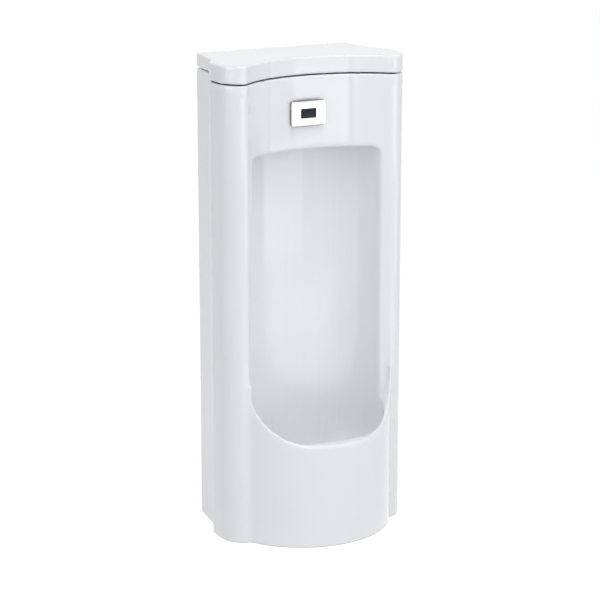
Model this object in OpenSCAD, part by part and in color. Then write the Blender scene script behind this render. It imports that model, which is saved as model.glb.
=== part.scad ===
// Floor-standing china urinal with a sensor flush.
// Millimetres. +Z is up, the front faces -Y and the origin is at the middle of the footprint on the floor.

/* [Overall] */
// Height to the top of the lid
total_h = 1000; // [960:5:1080]
// Width across the two wings
body_w = 420; // [410:1:440]
// Depth from the front of the bowl to the wall
body_d = 325; // [318:1:350]
// Thickness of the china
wall = 12; // [10:0.5:13]

/* [Plan] */
// Part of the depth by which the bowl stands ahead of the wings' ridges
bulge_share = 0.302; // [0.28:0.002:0.32]
// Half the width at which the bowl's front meets the wings
bulge_half_w = 166; // [160:1:168]
// Half the distance between the ridges
ridge_x = 172; // [170:1:178]
// Part of the depth by which the dished front falls behind the ridges
dish_share = 0.215; // [0.19:0.005:0.235]
// Radius of the wings' outer corners
wing_r = 60; // [54:1:64]
// Part of the depth from the ridges back to where the wings end
wing_share = 0.283; // [0.265:0.003:0.305]
// Part of the depth in which the wings step in to the body
step_share = 0.111; // [0.09:0.003:0.129]
// Half the width of the body just behind that step
neck_half_w = 188; // [184:1:192]
// Half the width of the body at the wall
rear_half_w = 174; // [170:1:180]
// Rounding of the ridges
ridge_round = 14; // [8:1:18]
// Rounding of the other upright corners
corner_round = 3; // [2:0.5:5]
// Fillet of the hollow upright corners
hollow_round = 12; // [8:1:16]

/* [Bowl] */
// Height of the front above the opening, lid included
forehead_h = 193; // [186:1:210]
// Half the width of the opening and the bowl
bowl_half_w = 148; // [142:1:150]
// Thickness of the bowl's front wall at the rim
rim_t = 28; // [26:1:34]
// Part of the depth between the bowl's back and the wall
service_share = 0.298; // [0.28:0.002:0.318]
// Height of the bowl's floor above the ground
bowl_floor_z = 100; // [92:1:120]
// Height of the bowl's rounded lower part
bowl_round_h = 115; // [100:1:130]
// Rounding of the opening's upper corners
ceiling_r = 10; // [6:1:14]
// Rise of the bowl's ceiling behind the opening's upper edge
ceiling_up = 10; // [8:0.5:12]
// Squareness of the bowl's plan, 2 for an ellipse
bowl_square = 2.3; // [2:0.1:2.8]
// Height of the rim at the front
rim_front_z = 221; // [210:1:240]
// Height over which the rim's two ends fade into the wings
rim_fade_h = 112; // [96:1:128]
// Half the width of the rim's upright sides
rim_half_w = 163; // [160:1:166]
// Radius of the rim's lower corners
rim_r = 100; // [90:1:112]

/* [Lid] */
// Height of the lid's front edge
lid_front_h = 37; // [34:1:42]
// Height of the lid's edge behind the wings
lid_rear_h = 28; // [24:1:32]
// Thickness of the lid's plate
lid_plate_t = 10; // [8:0.5:12]
// Shadow gap under the lid, which the pads fill
lid_gap = 2.5; // [2:0.5:4]
// Radius of a pad
pad_r = 5; // [4:0.5:5.5]
// How far the lid's ribs reach down inside the body
rib_drop = 10; // [6:1:14]
// Clearance between the lid's ribs and the china
rib_gap = 2; // [1.5:0.5:3]

/* [Sensor] */
// Width of the sensor plate
plate_w = 78; // [76:1:84]
// Height of the sensor plate
plate_h = 50; // [48:1:56]
// Thickness of the sensor plate
plate_t = 7; // [6:0.5:9]
// Corner radius of the sensor plate
plate_r = 3; // [2:0.5:5]
// Height of the plate's middle above the opening
sensor_up = 78; // [72:1:84]
// Width of the window
window_w = 36; // [32:1:40]
// Height of the window
window_h = 20; // [16:1:24]
// Thickness of the window
window_t = 3; // [2:0.5:4]
// Width of the hole in the china
port_w = 62; // [60:1:66]
// Height of the hole in the china
port_h = 40; // [38:1:42]
// Thickness of the gasket at the plate's ends
gasket_t = 1; // [0.8:0.1:2]
// Width of the sensor housing
housing_w = 50; // [46:1:52]
// Height of the sensor housing
housing_h = 32; // [30:1:34]
// Wall of the sensor housing
housing_t = 2; // [1.5:0.5:3]
// Radius of the plate's two studs
stud_r = 1.5; // [1.2:0.1:1.8]

/* [Valve] */
// Sideways place of the valve and the supply
valve_x = 85; // [80:1:92]
// Height of the supply's middle above the chamber's floor
supply_up = 49; // [46:1:54]
// Radius of the valve's barrel
barrel_r = 24; // [23:0.5:26]
// Height of the valve's barrel above the supply's middle
barrel_up = 24; // [22:1:27]
// Depth of the valve's barrel below the supply's middle
barrel_down = 18; // [16:1:20]
// Radius of the supply pipe
supply_r = 13; // [12.5:0.5:14]
// Tapping radius of the supply's threaded end
thread_r = 9.3; // [9:0.1:9.6]
// Depth of the supply's threaded end
thread_l = 16; // [14:1:20]
// Radius of the waterways
way_r = 6; // [5:0.5:7]
// Outer radius of the flushing tube
tube_r = 8; // [7.5:0.5:9]
// Wall of the flushing tube
tube_t = 1.5; // [1:0.25:2]
// Bend radius of the flushing tube
tube_bend = 20; // [18:1:24]
// Travel of the solenoid's plunger
plunger_travel = 3; // [2:0.5:4]
// Radius of the solenoid's plunger
plunger_r = 4; // [3.5:0.25:4.5]
// Length of the solenoid's plunger
plunger_l = 16; // [14:1:18]
// Radius of the stop's plug
plug_r = 8; // [7.5:0.25:8.5]
// Radius of the stop's stem
stem_r = 4; // [3:0.25:4.5]

/* [Spreader] */
// Radius of the head's flange
head_r = 15; // [14:1:16]
// Depth of the head below the ceiling
head_drop = 12; // [11:0.5:16]
// Radius of the head's threaded stem
head_stem_r = 10; // [9.5:0.5:11]

/* [Battery box] */
// Width of the box
box_w = 72; // [70:1:78]
// Depth of the box
box_d = 66; // [64:1:72]
// Height of the box without its door
box_h = 58; // [54:1:62]
// Wall of the box
box_t = 2.5; // [2:0.25:3]
// Distance from the box to the middle of the body
box_x = 60; // [56:1:66]
// Thickness of the door
door_t = 2.5; // [2:0.25:3]
// Radius of the door's pin
pin_r = 1.5; // [1.25:0.25:2]
// Radius of a cell
cell_r = 7.1; // [7:0.05:7.25]
// Length of a cell
cell_l = 50; // [49:0.5:50.5]
// Number of cells
cells = 4; // [4:1:4]

/* [Drain] */
// Distance from the drain to the wall
drain_to_wall = 187; // [180:1:195]
// Radius of the flat around the drain
drain_flat_r = 50; // [48:1:54]
// Radius of the hole in the china
drain_hole_r = 31; // [30:0.5:33]
// Radius of the drain's flange
flange_r = 44; // [42:1:46]
// Thickness of the drain's flange
flange_t = 3; // [2.5:0.5:4]
// Radius of the outlet pipe
outlet_r = 25; // [24:0.5:26]
// Wall of the drain
drain_t = 3; // [2.5:0.25:3.5]
// Thickness of the strainer
strainer_t = 2; // [1.5:0.25:2.5]
// Crown of the strainer above its edge
strainer_up = 9; // [7:1:12]
// Radius of a strainer hole
strainer_hole_r = 2.6; // [2:0.1:3]
// Height of the seal on the floor
seal_h = 18; // [14:1:24]

/* [Clearances] */
// Gap between pieces that are seated together
fit_gap = 0.2; // [0.1:0.05:0.3]
// Radial clearance of what turns or slides
run_gap = 0.05; // [0.03:0.01:0.08]

/* [Hidden] */

fine = 64;
arc_fn = 180;
over = 1;

// Plan, from the front to the wall
front_y = -body_d / 2;
back_y = body_d / 2;
bulge_out = body_d * bulge_share;
dish_depth = body_d * dish_share;
ridge_y = front_y + bulge_out;
dish_r = (pow(ridge_x, 2) + pow(dish_depth, 2)) / (2 * dish_depth);
dish_cy = ridge_y + dish_depth - dish_r;
bulge_r = (pow(bulge_half_w, 2) + pow(bulge_out, 2)) / (2 * bulge_out);
bulge_cy = front_y + bulge_r;
wing_cx = body_w / 2 - wing_r;
wing_cy = ridge_y + sqrt(pow(wing_r, 2) - pow(ridge_x - wing_cx, 2));
wing_end_y = ridge_y + body_d * wing_share;
neck_y = wing_end_y + body_d * step_share;
rim_end_x = ridge_x + hollow_round;
rim_fade_out = rim_end_x - rim_half_w;
rim_fade_r = (pow(rim_fade_h, 2) + pow(rim_fade_out, 2)) / (2 * rim_fade_out);
rear_in_y = back_y - wall;

// Heights
lid_front_z = total_h - lid_front_h;
lid_rear_z = total_h - lid_rear_h;
front_top_z = lid_front_z - lid_gap;
rear_top_z = lid_rear_z - lid_gap;
opening_z = total_h - forehead_h;
rim_side_z = rim_front_z + rim_r + rim_fade_h;
ceiling_z = opening_z + ceiling_up;
chamber_z = ceiling_z + wall;

// Place of the step between the lid's front and rear edges
split_gap = 2;
split_y = (wing_end_y + neck_y) / 2;

// How far back the dished front's outer face is at x, and its inner face
function dish_y(x, grow = 0) = dish_cy + sqrt(pow(dish_r + grow, 2) - pow(x, 2));

module rounded_corners(r) {
    offset(r = r) offset(delta = -r) children();
}

module filled_corners(r) {
    offset(r = -r) offset(delta = r) children();
}

module plan_limits() {
    side = [[body_w / 2, wing_end_y], [neck_half_w, neck_y], [rear_half_w, back_y]];
    polygon(concat(
        [[-body_w / 2, front_y], [body_w / 2, front_y]], side,
        [for (i = [len(side) - 1 : -1 : 0]) [-side[i][0], side[i][1]]]
    ));
}

// Wings and dished front, before their rear is shaped
module wings_plan() {
    rounded_corners(ridge_round, $fn = fine) difference() {
        union() {
            for (s = [-1, 1]) translate([s * wing_cx, wing_cy]) circle(r = wing_r, $fn = 72);
            translate([-wing_cx, wing_cy - wing_r]) square([2 * wing_cx, wing_r]);
            translate([-body_w / 2, wing_cy]) square([body_w, body_d]);
        }
        translate([0, dish_cy]) circle(r = dish_r, $fn = arc_fn);
    }
}

// Outline of the upper body and of the lid
module upper_plan() {
    rounded_corners(corner_round, $fn = 24) filled_corners(hollow_round, $fn = fine)
        intersection() {
            plan_limits();
            wings_plan();
        }
}

// Outline of the lower body, with the bulging bowl
module lower_plan() {
    filled_corners(hollow_round, $fn = fine) union() {
        upper_plan();
        intersection() {
            translate([0, bulge_cy]) circle(r = bulge_r, $fn = arc_fn);
            half_plane(front_y - over, bulge_cy);
        }
    }
}

module half_plane(from_y, to_y) {
    translate([-body_w, from_y]) square([2 * body_w, to_y - from_y]);
}

// The bowl and the tall opening are one lofted hollow. Its sections are squared ellipses that
// open out of the drain's flat, run straight up and close with a rounded ceiling.
bowl_n = 56;
bowl_front_y = front_y + rim_t;
bowl_back_y = back_y - body_d * service_share;
bowl_mid_y = ridge_y + (bowl_back_y - bowl_front_y) / 10;
drain_y = back_y - drain_to_wall;
floor_steps = 9;
ceiling_steps = 4;

function signed_pow(v, p) = sign(v) * pow(abs(v), p);

// One section: half width, front, middle and back, height and squareness
function bowl_ring(half_w, front, mid, back, z, square) = [
    for (i = [0 : bowl_n - 1])
        let (c = cos(360 * i / bowl_n), s = sin(360 * i / bowl_n), p = 2 / square)
            [half_w * signed_pow(c, p), mid + (s > 0 ? back - mid : mid - front) * signed_pow(s, p), z]
];

function mix(a, b, t) = a + (b - a) * t;

// Sections of the bowl up to its top, or of its outer skin when grown by the wall
function bowl_rings(top, grow) = concat(
    [for (k = [0 : floor_steps])
        let (a = 90 * k / floor_steps, t = sin(a), out = grow * t)
            bowl_ring(
                mix(drain_flat_r, bowl_half_w, t) + out,
                mix(drain_y - drain_flat_r, bowl_front_y, t) - out,
                mix(drain_y, bowl_mid_y, t),
                mix(drain_y + drain_flat_r, bowl_back_y, t) + out,
                bowl_floor_z + bowl_round_h * (1 - cos(a)) - grow * cos(a),
                mix(2, bowl_square, t))],
    [for (k = [0 : ceiling_steps])
        let (a = 90 * k / ceiling_steps, r = ceiling_r + grow, inset = r * (1 - cos(a)))
            bowl_ring(
                bowl_half_w + grow - inset,
                bowl_front_y - grow + inset,
                bowl_mid_y,
                bowl_back_y + grow - inset,
                top - ceiling_r + r * sin(a),
                bowl_square)]
);

// Joins rings of equal length into one closed solid
module loft(rings) {
    n = len(rings[0]);
    last = len(rings) - 1;
    polyhedron(
        points = [for (ring = rings) each ring],
        faces = concat(
            [[for (i = [0 : n - 1]) i]],
            [for (k = [0 : last - 1], i = [0 : n - 1], half = [0, 1])
                let (j = (i + 1) % n, a = k * n, b = a + n)
                    half == 0 ? [a + i, b + i, b + j] : [a + i, b + j, a + j]],
            [[for (i = [n - 1 : -1 : 0]) last * n + i]]
        )
    );
}

module bowl(top, grow = 0) {
    loft(bowl_rings(top, grow));
}

// Room behind the front wall, where the ceiling is higher than the opening's edge
module behind_front() {
    linear_extrude(total_h) difference() {
        half_plane(ridge_y, back_y);
        translate([0, dish_cy]) circle(r = dish_r + wall, $fn = arc_fn);
    }
}

// The rim seen from the front: two round corners, and sides that lean out into the wings
module rim_profile() {
    for (s = [-1, 1])
        translate([s * (rim_half_w - rim_r), rim_front_z + rim_r]) circle(r = rim_r, $fn = arc_fn);
    translate([-(rim_half_w - rim_r), rim_front_z])
        square([2 * (rim_half_w - rim_r), rim_r]);
    difference() {
        translate([-rim_end_x, rim_front_z + rim_r]) square([2 * rim_end_x, rim_fade_h + over]);
        for (s = [-1, 1])
            translate([s * (rim_half_w + rim_fade_r), rim_front_z + rim_r])
                circle(r = rim_fade_r, $fn = arc_fn);
    }
}

// A flat shape in x and z, pushed back from from_y to to_y
module upright(from_y, to_y) {
    translate([0, to_y, 0]) rotate([90, 0, 0]) linear_extrude(to_y - from_y) children();
}

module rounded_box(w, h, r) {
    translate([-w / 2 + r, -h / 2]) square([w - 2 * r, h]);
    translate([-w / 2, -h / 2 + r]) square([w, h - 2 * r]);
    for (i = [-1, 1], j = [-1, 1])
        translate([i * (w / 2 - r), j * (h / 2 - r)]) circle(r = r, $fn = 32);
}

// A ring or a disc with a hole
module ring(r, hole, h) {
    difference() {
        cylinder(r = r, h = h, $fn = fine);
        translate([0, 0, -over]) cylinder(r = hole, h = h + 2 * over, $fn = fine);
    }
}

// The same, lying along y from y to y + l
module lying_ring(x, y, z, r, hole, l) {
    translate([x, y + l, z]) rotate([90, 0, 0]) ring(r, hole, l);
}

// Access arch in the rear wall
arch_half_w = 100;
arch_h = 240;
arch_r = 40;
base_hollow_z = bowl_floor_z + bowl_round_h / 2;

// Fixing holes in the rear wall
fixing_x = 120;
fixing_down = 35;
fixing_z = rear_top_z - fixing_down;
fixing_r = 4.6;
bush_t = 1.8;
bush_flange_r = 11;
bush_flange_t = 2;

// Supply
supply_z = chamber_z + supply_up;
grommet_t = 3;
grommet_flange_t = 2.5;
grommet_flange_r = supply_r + grommet_t + 5;

// Flushing head, clear of the rounding between the bowl's back and its ceiling
head_y = bowl_back_y - ceiling_r - head_r;
head_stem_gap = 1;

// Sensor
sensor_z = opening_z + sensor_up;
plate_back_y = dish_y(plate_w / 2) - gasket_t;
plate_front_y = plate_back_y - plate_t;

module ceramic_body() {
    color("white") difference() {
        china_outside();
        difference() {
            china_hollow();
            bowl(ceiling_z, wall);
        }
        bowl(opening_z);
        intersection() {
            bowl(ceiling_z);
            behind_front();
        }
        translate([0, 0, chamber_z]) linear_extrude(total_h) offset(delta = -wall) upper_plan();
        china_holes();
    }
}

module china_outside() {
    linear_extrude(front_top_z) upper_plan();
    linear_extrude(rear_top_z) intersection() {
        upper_plan();
        half_plane(split_y + split_gap / 2, back_y + over);
    }
    difference() {
        linear_extrude(rim_side_z) lower_plan();
        upright(front_y - over, bulge_cy + over) rim_profile();
    }
}

module china_hollow() {
    translate([0, 0, -over]) linear_extrude(ceiling_z + over) offset(delta = -wall) upper_plan();
    translate([0, 0, -over]) linear_extrude(base_hollow_z + over) offset(delta = -wall) lower_plan();
}

module china_holes() {
    upright(rear_in_y - over, back_y + over) {
        translate([-arch_half_w, -over]) square([2 * arch_half_w, arch_h - arch_r + over]);
        translate([-arch_half_w + arch_r, 0]) square([2 * (arch_half_w - arch_r), arch_h]);
        for (s = [-1, 1])
            translate([s * (arch_half_w - arch_r), arch_h - arch_r]) circle(r = arch_r, $fn = fine);
    }
    upright(dish_y(port_w) - over, dish_y(0, wall) + over)
        translate([0, sensor_z]) rounded_box(port_w, port_h, plate_r);
    for (s = [-1, 1])
        translate([s * fixing_x, back_y + over, fixing_z]) rotate([90, 0, 0])
            cylinder(r = fixing_r + bush_t + fit_gap, h = wall + 2 * over, $fn = fine);
    translate([valve_x, back_y + over, supply_z]) rotate([90, 0, 0])
        cylinder(r = supply_r + grommet_t + fit_gap, h = wall + 2 * over, $fn = fine);
    translate([0, head_y, ceiling_z - over])
        cylinder(r = head_stem_r + head_stem_gap, h = wall + 2 * over, $fn = fine);
    translate([0, drain_y, bowl_floor_z - wall - over])
        cylinder(r = drain_hole_r, h = wall + 2 * over, $fn = fine);
}

// Ribs under the lid that keep it in place, near the straight rear sides
rib_l = 30;
rib_t = 6;
rib_back = 10;
rib_y = neck_y + rib_l / 2 + rib_back;
side_slope = (neck_half_w - rear_half_w) / (back_y - neck_y);

module top_cover() {
    color("white") {
        difference() {
            union() {
                translate([0, 0, lid_rear_z]) linear_extrude(lid_rear_h) upper_plan();
                translate([0, 0, lid_front_z]) linear_extrude(lid_front_h) intersection() {
                    upper_plan();
                    half_plane(front_y, split_y - split_gap / 2);
                }
            }
            translate([0, 0, lid_front_z - over])
                linear_extrude(lid_front_h - lid_plate_t + over) offset(delta = -wall) upper_plan();
        }
        for (s = [-1, 1]) lid_rib(s);
    }
}

// One rib, hung from the lid's plate just inside the body's side wall
module lid_rib(s) {
    inner_x = neck_half_w - side_slope * (rib_y + rib_l / 2 - neck_y) - wall - rib_gap;
    low = rear_top_z - rib_drop;
    high = total_h - lid_plate_t + over;
    translate([s * (inner_x - rib_t / 2), rib_y, (low + high) / 2])
        cube([rib_t, rib_l, high - low], center = true);
}

front_pad_x = 110;

module cover_pads() {
    color("dimgray") for (s = [-1, 1]) {
        translate([s * front_pad_x, dish_y(front_pad_x, wall / 2), front_top_z])
            cylinder(r = pad_r, h = lid_gap, $fn = 32);
        translate([s * fixing_x, back_y - wall / 2, rear_top_z])
            cylinder(r = pad_r, h = lid_gap, $fn = 32);
    }
}

// Sensor, from the plate backwards
plate_edge = 1;
window_ledge = 2;
window_r = 2;
nut_t = 3;
nut_r = 3.2;
stud_past = 2;
stud_x = housing_w / 2 + nut_r + fit_gap;
clamp_y = dish_y(0, wall) + fit_gap / 2;
clamp_t = 3;
clamp_w = housing_w + 26;
clamp_h = 60;
clamp_r = 4;
stud_end_y = clamp_y + clamp_t + nut_t + stud_past;

module sensor_bezel() {
    color("gainsboro") {
        difference() {
            union() {
                upright(plate_front_y, plate_front_y + plate_edge) translate([0, sensor_z])
                    rounded_box(plate_w - plate_edge, plate_h - plate_edge, plate_r);
                upright(plate_front_y + plate_edge, plate_back_y)
                    translate([0, sensor_z]) rounded_box(plate_w, plate_h, plate_r);
            }
            upright(plate_front_y - over, plate_front_y + window_t)
                translate([0, sensor_z]) rounded_box(window_w, window_h, window_r);
            upright(plate_front_y, plate_back_y + over) translate([0, sensor_z])
                square([window_w - 2 * window_ledge, window_h - 2 * window_ledge], center = true);
        }
        for (s = [-1, 1])
            translate([s * stud_x, stud_end_y, sensor_z]) rotate([90, 0, 0])
                cylinder(r = stud_r, h = stud_end_y - plate_back_y + over / 2, $fn = 32);
    }
}

module sensor_window() {
    color("midnightblue") upright(plate_front_y + fit_gap, plate_front_y + window_t)
        translate([0, sensor_z]) rounded_box(window_w - 2 * fit_gap, window_h - 2 * fit_gap, window_r);
}

gasket_inset = 1;

// Plan of the gasket: flat at the plate, and curved to the dished china behind it
module gasket_plan() {
    half_w = plate_w / 2 - gasket_inset;
    steps = 12;
    polygon(concat(
        [[-half_w, plate_back_y], [half_w, plate_back_y]],
        [for (k = [steps : -1 : -steps]) [half_w * k / steps, dish_y(half_w * k / steps) - fit_gap]]
    ));
}

module sensor_gasket() {
    color("dimgray") difference() {
        translate([0, 0, sensor_z - plate_h / 2 + gasket_inset])
            linear_extrude(plate_h - 2 * gasket_inset) gasket_plan();
        upright(plate_back_y - over, plate_back_y + dish_depth)
            translate([0, sensor_z]) rounded_box(port_w, port_h, plate_r);
    }
}

// Cable glands, and the housing that ends just ahead of the flushing tube
gland_r = 5;
gland_l = 6;
cable_r = 2.2;
housing_clear = 1;
housing_back_y = head_y - tube_r - housing_clear;

module sensor_housing() {
    color("darkslategray") difference() {
        union() {
            upright(plate_back_y, housing_back_y)
                translate([0, sensor_z]) rounded_box(housing_w, housing_h, housing_t);
            translate([0, housing_back_y + gland_l, sensor_z]) rotate([90, 0, 0])
                cylinder(r = gland_r, h = gland_l + over, $fn = 32);
        }
        difference() {
            upright(plate_back_y - over, housing_back_y - housing_t) translate([0, sensor_z])
                square([housing_w - 2 * housing_t, housing_h - 2 * housing_t], center = true);
            for (i = [-1, 1], j = [-1, 1]) board_post(i, j);
        }
        translate([0, housing_back_y + gland_l + over, sensor_z]) rotate([90, 0, 0])
            cylinder(r = cable_r, h = gland_l + housing_t + 2 * over, $fn = 32);
    }
}

board_t = 1.6;
board_y = (plate_back_y + housing_back_y) / 2;
board_gap = 0.5;
post_w = 5;
chip = [8, 2, 6];
capacitor = [5, 4, 5];

// Corner posts that carry the circuit board
module board_post(i, j) {
    upright(board_y + board_t + fit_gap / 2, housing_back_y)
        translate([i * (housing_w / 2 - housing_t - post_w / 2),
                   sensor_z + j * (housing_h / 2 - housing_t - post_w / 2)])
            square([post_w, post_w], center = true);
}

module sensor_board() {
    w = housing_w - 2 * housing_t - 2 * board_gap;
    h = housing_h - 2 * housing_t - 2 * board_gap;
    color("seagreen") {
        upright(board_y, board_y + board_t) translate([0, sensor_z]) square([w, h], center = true);
        translate([-chip[0] / 2, board_y - chip[1], sensor_z - h / 4 - chip[2] / 2]) cube(chip);
        translate([-w / 4 - capacitor[0], board_y - capacitor[1], sensor_z + h / 4 - capacitor[2] / 2])
            cube(capacitor);
    }
}

diode_r = 2.5;
diode_x = 9;

// Emitter and receiver, on the board and looking through the window
module sensor_diodes() {
    color("dimgray") for (s = [-1, 1]) {
        tip_y = plate_front_y + window_t + fit_gap + diode_r;
        translate([s * diode_x, board_y, sensor_z]) rotate([90, 0, 0])
            cylinder(r = diode_r, h = board_y - tip_y, $fn = 32);
        translate([s * diode_x, tip_y, sensor_z]) sphere(r = diode_r, $fn = 32);
    }
}

module sensor_clamp() {
    color("silver") difference() {
        upright(clamp_y, clamp_y + clamp_t) translate([0, sensor_z])
            rounded_box(clamp_w, clamp_h, clamp_r);
        upright(clamp_y - over, clamp_y + clamp_t + over) translate([0, sensor_z])
            square([housing_w + 2 * fit_gap, housing_h + 2 * fit_gap], center = true);
        for (s = [-1, 1])
            translate([s * stud_x, clamp_y + clamp_t + over, sensor_z]) rotate([90, 0, 0])
                cylinder(r = stud_r + run_gap, h = clamp_t + 2 * over, $fn = 32);
    }
}

module clamp_nuts() {
    color("silver") for (s = [-1, 1])
        translate([s * stud_x, clamp_y + clamp_t + nut_t, sensor_z]) rotate([90, 0, 0])
            hex_nut(nut_r, stud_r + run_gap, nut_t);
}

module hex_nut(r, hole, h) {
    difference() {
        cylinder(r = r, h = h, $fn = 6);
        translate([0, 0, -over]) cylinder(r = hole, h = h + 2 * over, $fn = 32);
    }
}

// A cable is a tube of eight sides swept along a smooth curve through a few points
cable_sides = 8;
cable_steps = 5;

function catmull(a, b, c, d, t) =
    0.5 * (2 * b + (c - a) * t + (2 * a - 5 * b + 4 * c - d) * pow(t, 2)
           + (3 * b - a - 3 * c + d) * pow(t, 3));

function smooth_path(p) = concat(
    [for (i = [0 : len(p) - 2], k = [0 : cable_steps - 1])
        catmull(p[max(i - 1, 0)], p[i], p[i + 1], p[min(i + 2, len(p) - 1)], k / cable_steps)],
    [p[len(p) - 1]]
);

function unit(v) = v / norm(v);

// Direction of the path at its point i
function path_way(p, i) = unit(p[min(i + 1, len(p) - 1)] - p[max(i - 1, 0)]);

// One ring of the tube, square to the path
function cable_ring(at, way, r) =
    let (side = unit(cross(way, abs(way[2]) < 0.9 ? [0, 0, 1] : [1, 0, 0])), up = cross(side, way))
        [for (k = [0 : cable_sides - 1])
            at + r * (cos(360 * k / cable_sides) * side + sin(360 * k / cable_sides) * up)];

module cable(route, r) {
    p = smooth_path(route);
    loft([for (i = [len(p) - 1 : -1 : 0]) cable_ring(p[i], path_way(p, i), r)]);
}

// Battery box, standing on the chamber's floor at the left
box_right_x = -box_x;
box_left_x = box_right_x - box_w;
box_front_y = head_y - box_d / 3;
box_back_y = box_front_y + box_d;
box_top_z = chamber_z + box_h;
tray_z = box_top_z - 2 * cell_r - 2;
knuckle_t = 1.5;
knuckle_r = pin_r + knuckle_t;
knuckle_l = box_w / 5;
hinge_y = box_back_y + knuckle_r;
hinge_z = box_top_z + door_t / 2;
ear_h = 12;
leaf_in = 6;
tab_w = 16;
tab_out = 3;
cell_front = 5;
button_r = 2.6;

// Leads: straight through their glands, then in a loose curve down to the box
box_lead_up = 20;
box_lead_z = chamber_z + box_lead_up;
box_lead_pitch = 14;
lead_in = 5;
lead_out = 5;
lead_bow = 8;
lead_swing = 34;
lead_low = 4;

module sensor_cable() {
    start = [0, housing_back_y + gland_l, sensor_z];
    end = [box_right_x + gland_l, head_y, box_lead_z];
    color("black") cable([
        start - [0, lead_in, 0], start + [0, lead_out / 4, 0], start + [0, lead_out, 0],
        mix(start, end, 0.15) + [0, lead_out + lead_bow, 0], mix(start, end, 0.45) + [0, lead_bow, 0],
        end + [2 * lead_bow, 0, 0], end + [lead_out, 0, 0],
        end + [lead_out / 4, 0, 0], end - [lead_in, 0, 0]
    ], cable_r - fit_gap);
}

module battery_box() {
    color("lightgray") difference() {
        union() {
            translate([box_left_x, box_front_y, chamber_z]) cube([box_w, box_d, box_h]);
            for (y = [head_y, head_y + box_lead_pitch])
                translate([box_right_x - over, y, box_lead_z]) rotate([0, 90, 0])
                    cylinder(r = gland_r, h = gland_l + over, $fn = 32);
            for (k = [0, 2, 4]) box_knuckle(k);
        }
        translate([box_left_x + box_t, box_front_y + box_t, tray_z])
            cube([box_w - 2 * box_t, box_d - 2 * box_t, box_top_z - tray_z + over]);
        translate([box_left_x + box_t, box_front_y + box_t, chamber_z + box_t])
            cube([box_w - 2 * box_t, box_d - 2 * box_t, tray_z - chamber_z - 2 * box_t]);
        for (y = [head_y, head_y + box_lead_pitch])
            translate([box_right_x - box_t - over, y, box_lead_z]) rotate([0, 90, 0])
                cylinder(r = cable_r, h = box_t + gland_l + 2 * over, $fn = 32);
        hinge_bore();
    }
}

module hinge_bore() {
    translate([box_left_x - over, hinge_y, hinge_z]) rotate([0, 90, 0])
        cylinder(r = pin_r + run_gap, h = box_w + 2 * over, $fn = 32);
}

// One of the box's knuckles, on an ear that grows out of the box's back
module box_knuckle(k) {
    x = box_left_x + k * knuckle_l + fit_gap;
    translate([x, hinge_y, hinge_z]) rotate([0, 90, 0])
        cylinder(r = knuckle_r, h = knuckle_l - 2 * fit_gap, $fn = 32);
    translate([x, box_back_y - over, box_top_z - ear_h])
        cube([knuckle_l - 2 * fit_gap, 2 * knuckle_r + over, hinge_z - box_top_z + ear_h]);
}

module battery_door() {
    color("lightgray") difference() {
        union() {
            translate([box_left_x, box_front_y, box_top_z + fit_gap / 2])
                cube([box_w, box_d - knuckle_r + over, door_t]);
            for (k = [1, 3]) door_knuckle(k);
            translate([box_left_x + (box_w - tab_w) / 2, box_front_y - tab_out, box_top_z + fit_gap / 2])
                cube([tab_w, tab_out + over, door_t]);
        }
        hinge_bore();
    }
}

module door_knuckle(k) {
    x = box_left_x + k * knuckle_l + fit_gap;
    translate([x, hinge_y, hinge_z]) rotate([0, 90, 0])
        cylinder(r = knuckle_r, h = knuckle_l - 2 * fit_gap, $fn = 32);
    translate([x, box_back_y - leaf_in, box_top_z + fit_gap / 2])
        cube([knuckle_l - 2 * fit_gap, hinge_y - box_back_y + leaf_in, door_t]);
}

module door_pin() {
    color("silver") translate([box_left_x, hinge_y, hinge_z]) rotate([0, 90, 0])
        cylinder(r = pin_r, h = box_w, $fn = 32);
}

module batteries() {
    pitch = (box_w - 2 * box_t) / cells;
    y = box_front_y + box_t + cell_front;
    color("goldenrod") for (k = [0 : cells - 1])
        translate([box_left_x + box_t + pitch * (k + 0.5), y, tray_z + cell_r + fit_gap / 2])
            rotate([-90, 0, 0]) {
                cylinder(r = cell_r, h = cell_l, $fn = 48);
                translate([0, 0, cell_l - over]) cylinder(r = button_r, h = 2 * over, $fn = 32);
            }
}

// Valve
barrel_y = head_y;
barrel_top_z = supply_z + barrel_up;
barrel_bottom_z = supply_z - barrel_down;
plug_wall = 4;
boss_r = plug_r + plug_wall;
boss_down = supply_r + 1;
boss_up = 10;
boss_gap = 3;
stop_y = barrel_y + barrel_r + boss_gap + boss_r;
supply_nut_l = 9;
supply_nut_out = 6;
valve_back_y = stop_y + boss_r + supply_nut_l / 2 + 0.5;
seat_t = 2;
seat_r = way_r + seat_t;
outlet_boss_l = 12;
outlet_x = valve_x - barrel_r - outlet_boss_l;
outlet_way_r = tube_r - tube_t - 1;
tube_nut_r = tube_r + 4.5;
outlet_z = barrel_bottom_z + tube_nut_r;
pressure_r = barrel_r - 6;
pressure_z = outlet_z + outlet_way_r + 2;
diaphragm_t = 2;
bead_t = 1;
bleed_r = 0.8;
bonnet_t = 10;
bonnet_roof = 3;
bonnet_z = barrel_top_z + diaphragm_t;
screw_ring_r = barrel_r - 3;
screw_r = 1.6;
screw_in = 7;
screw_head_r = 2.8;
screw_head_h = 2.2;
core_z = bonnet_z + bonnet_t;
core_wall = 1;
core_end_t = 2;
spring_room = 7;
core_h = plunger_l + plunger_travel + spring_room + core_end_t;
coil_w = 28;
coil_d = 30;
coil_h = core_h - 3;
coil_up = screw_head_h + fit_gap;
cable_exit_z = core_z + coil_h / 2;

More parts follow.
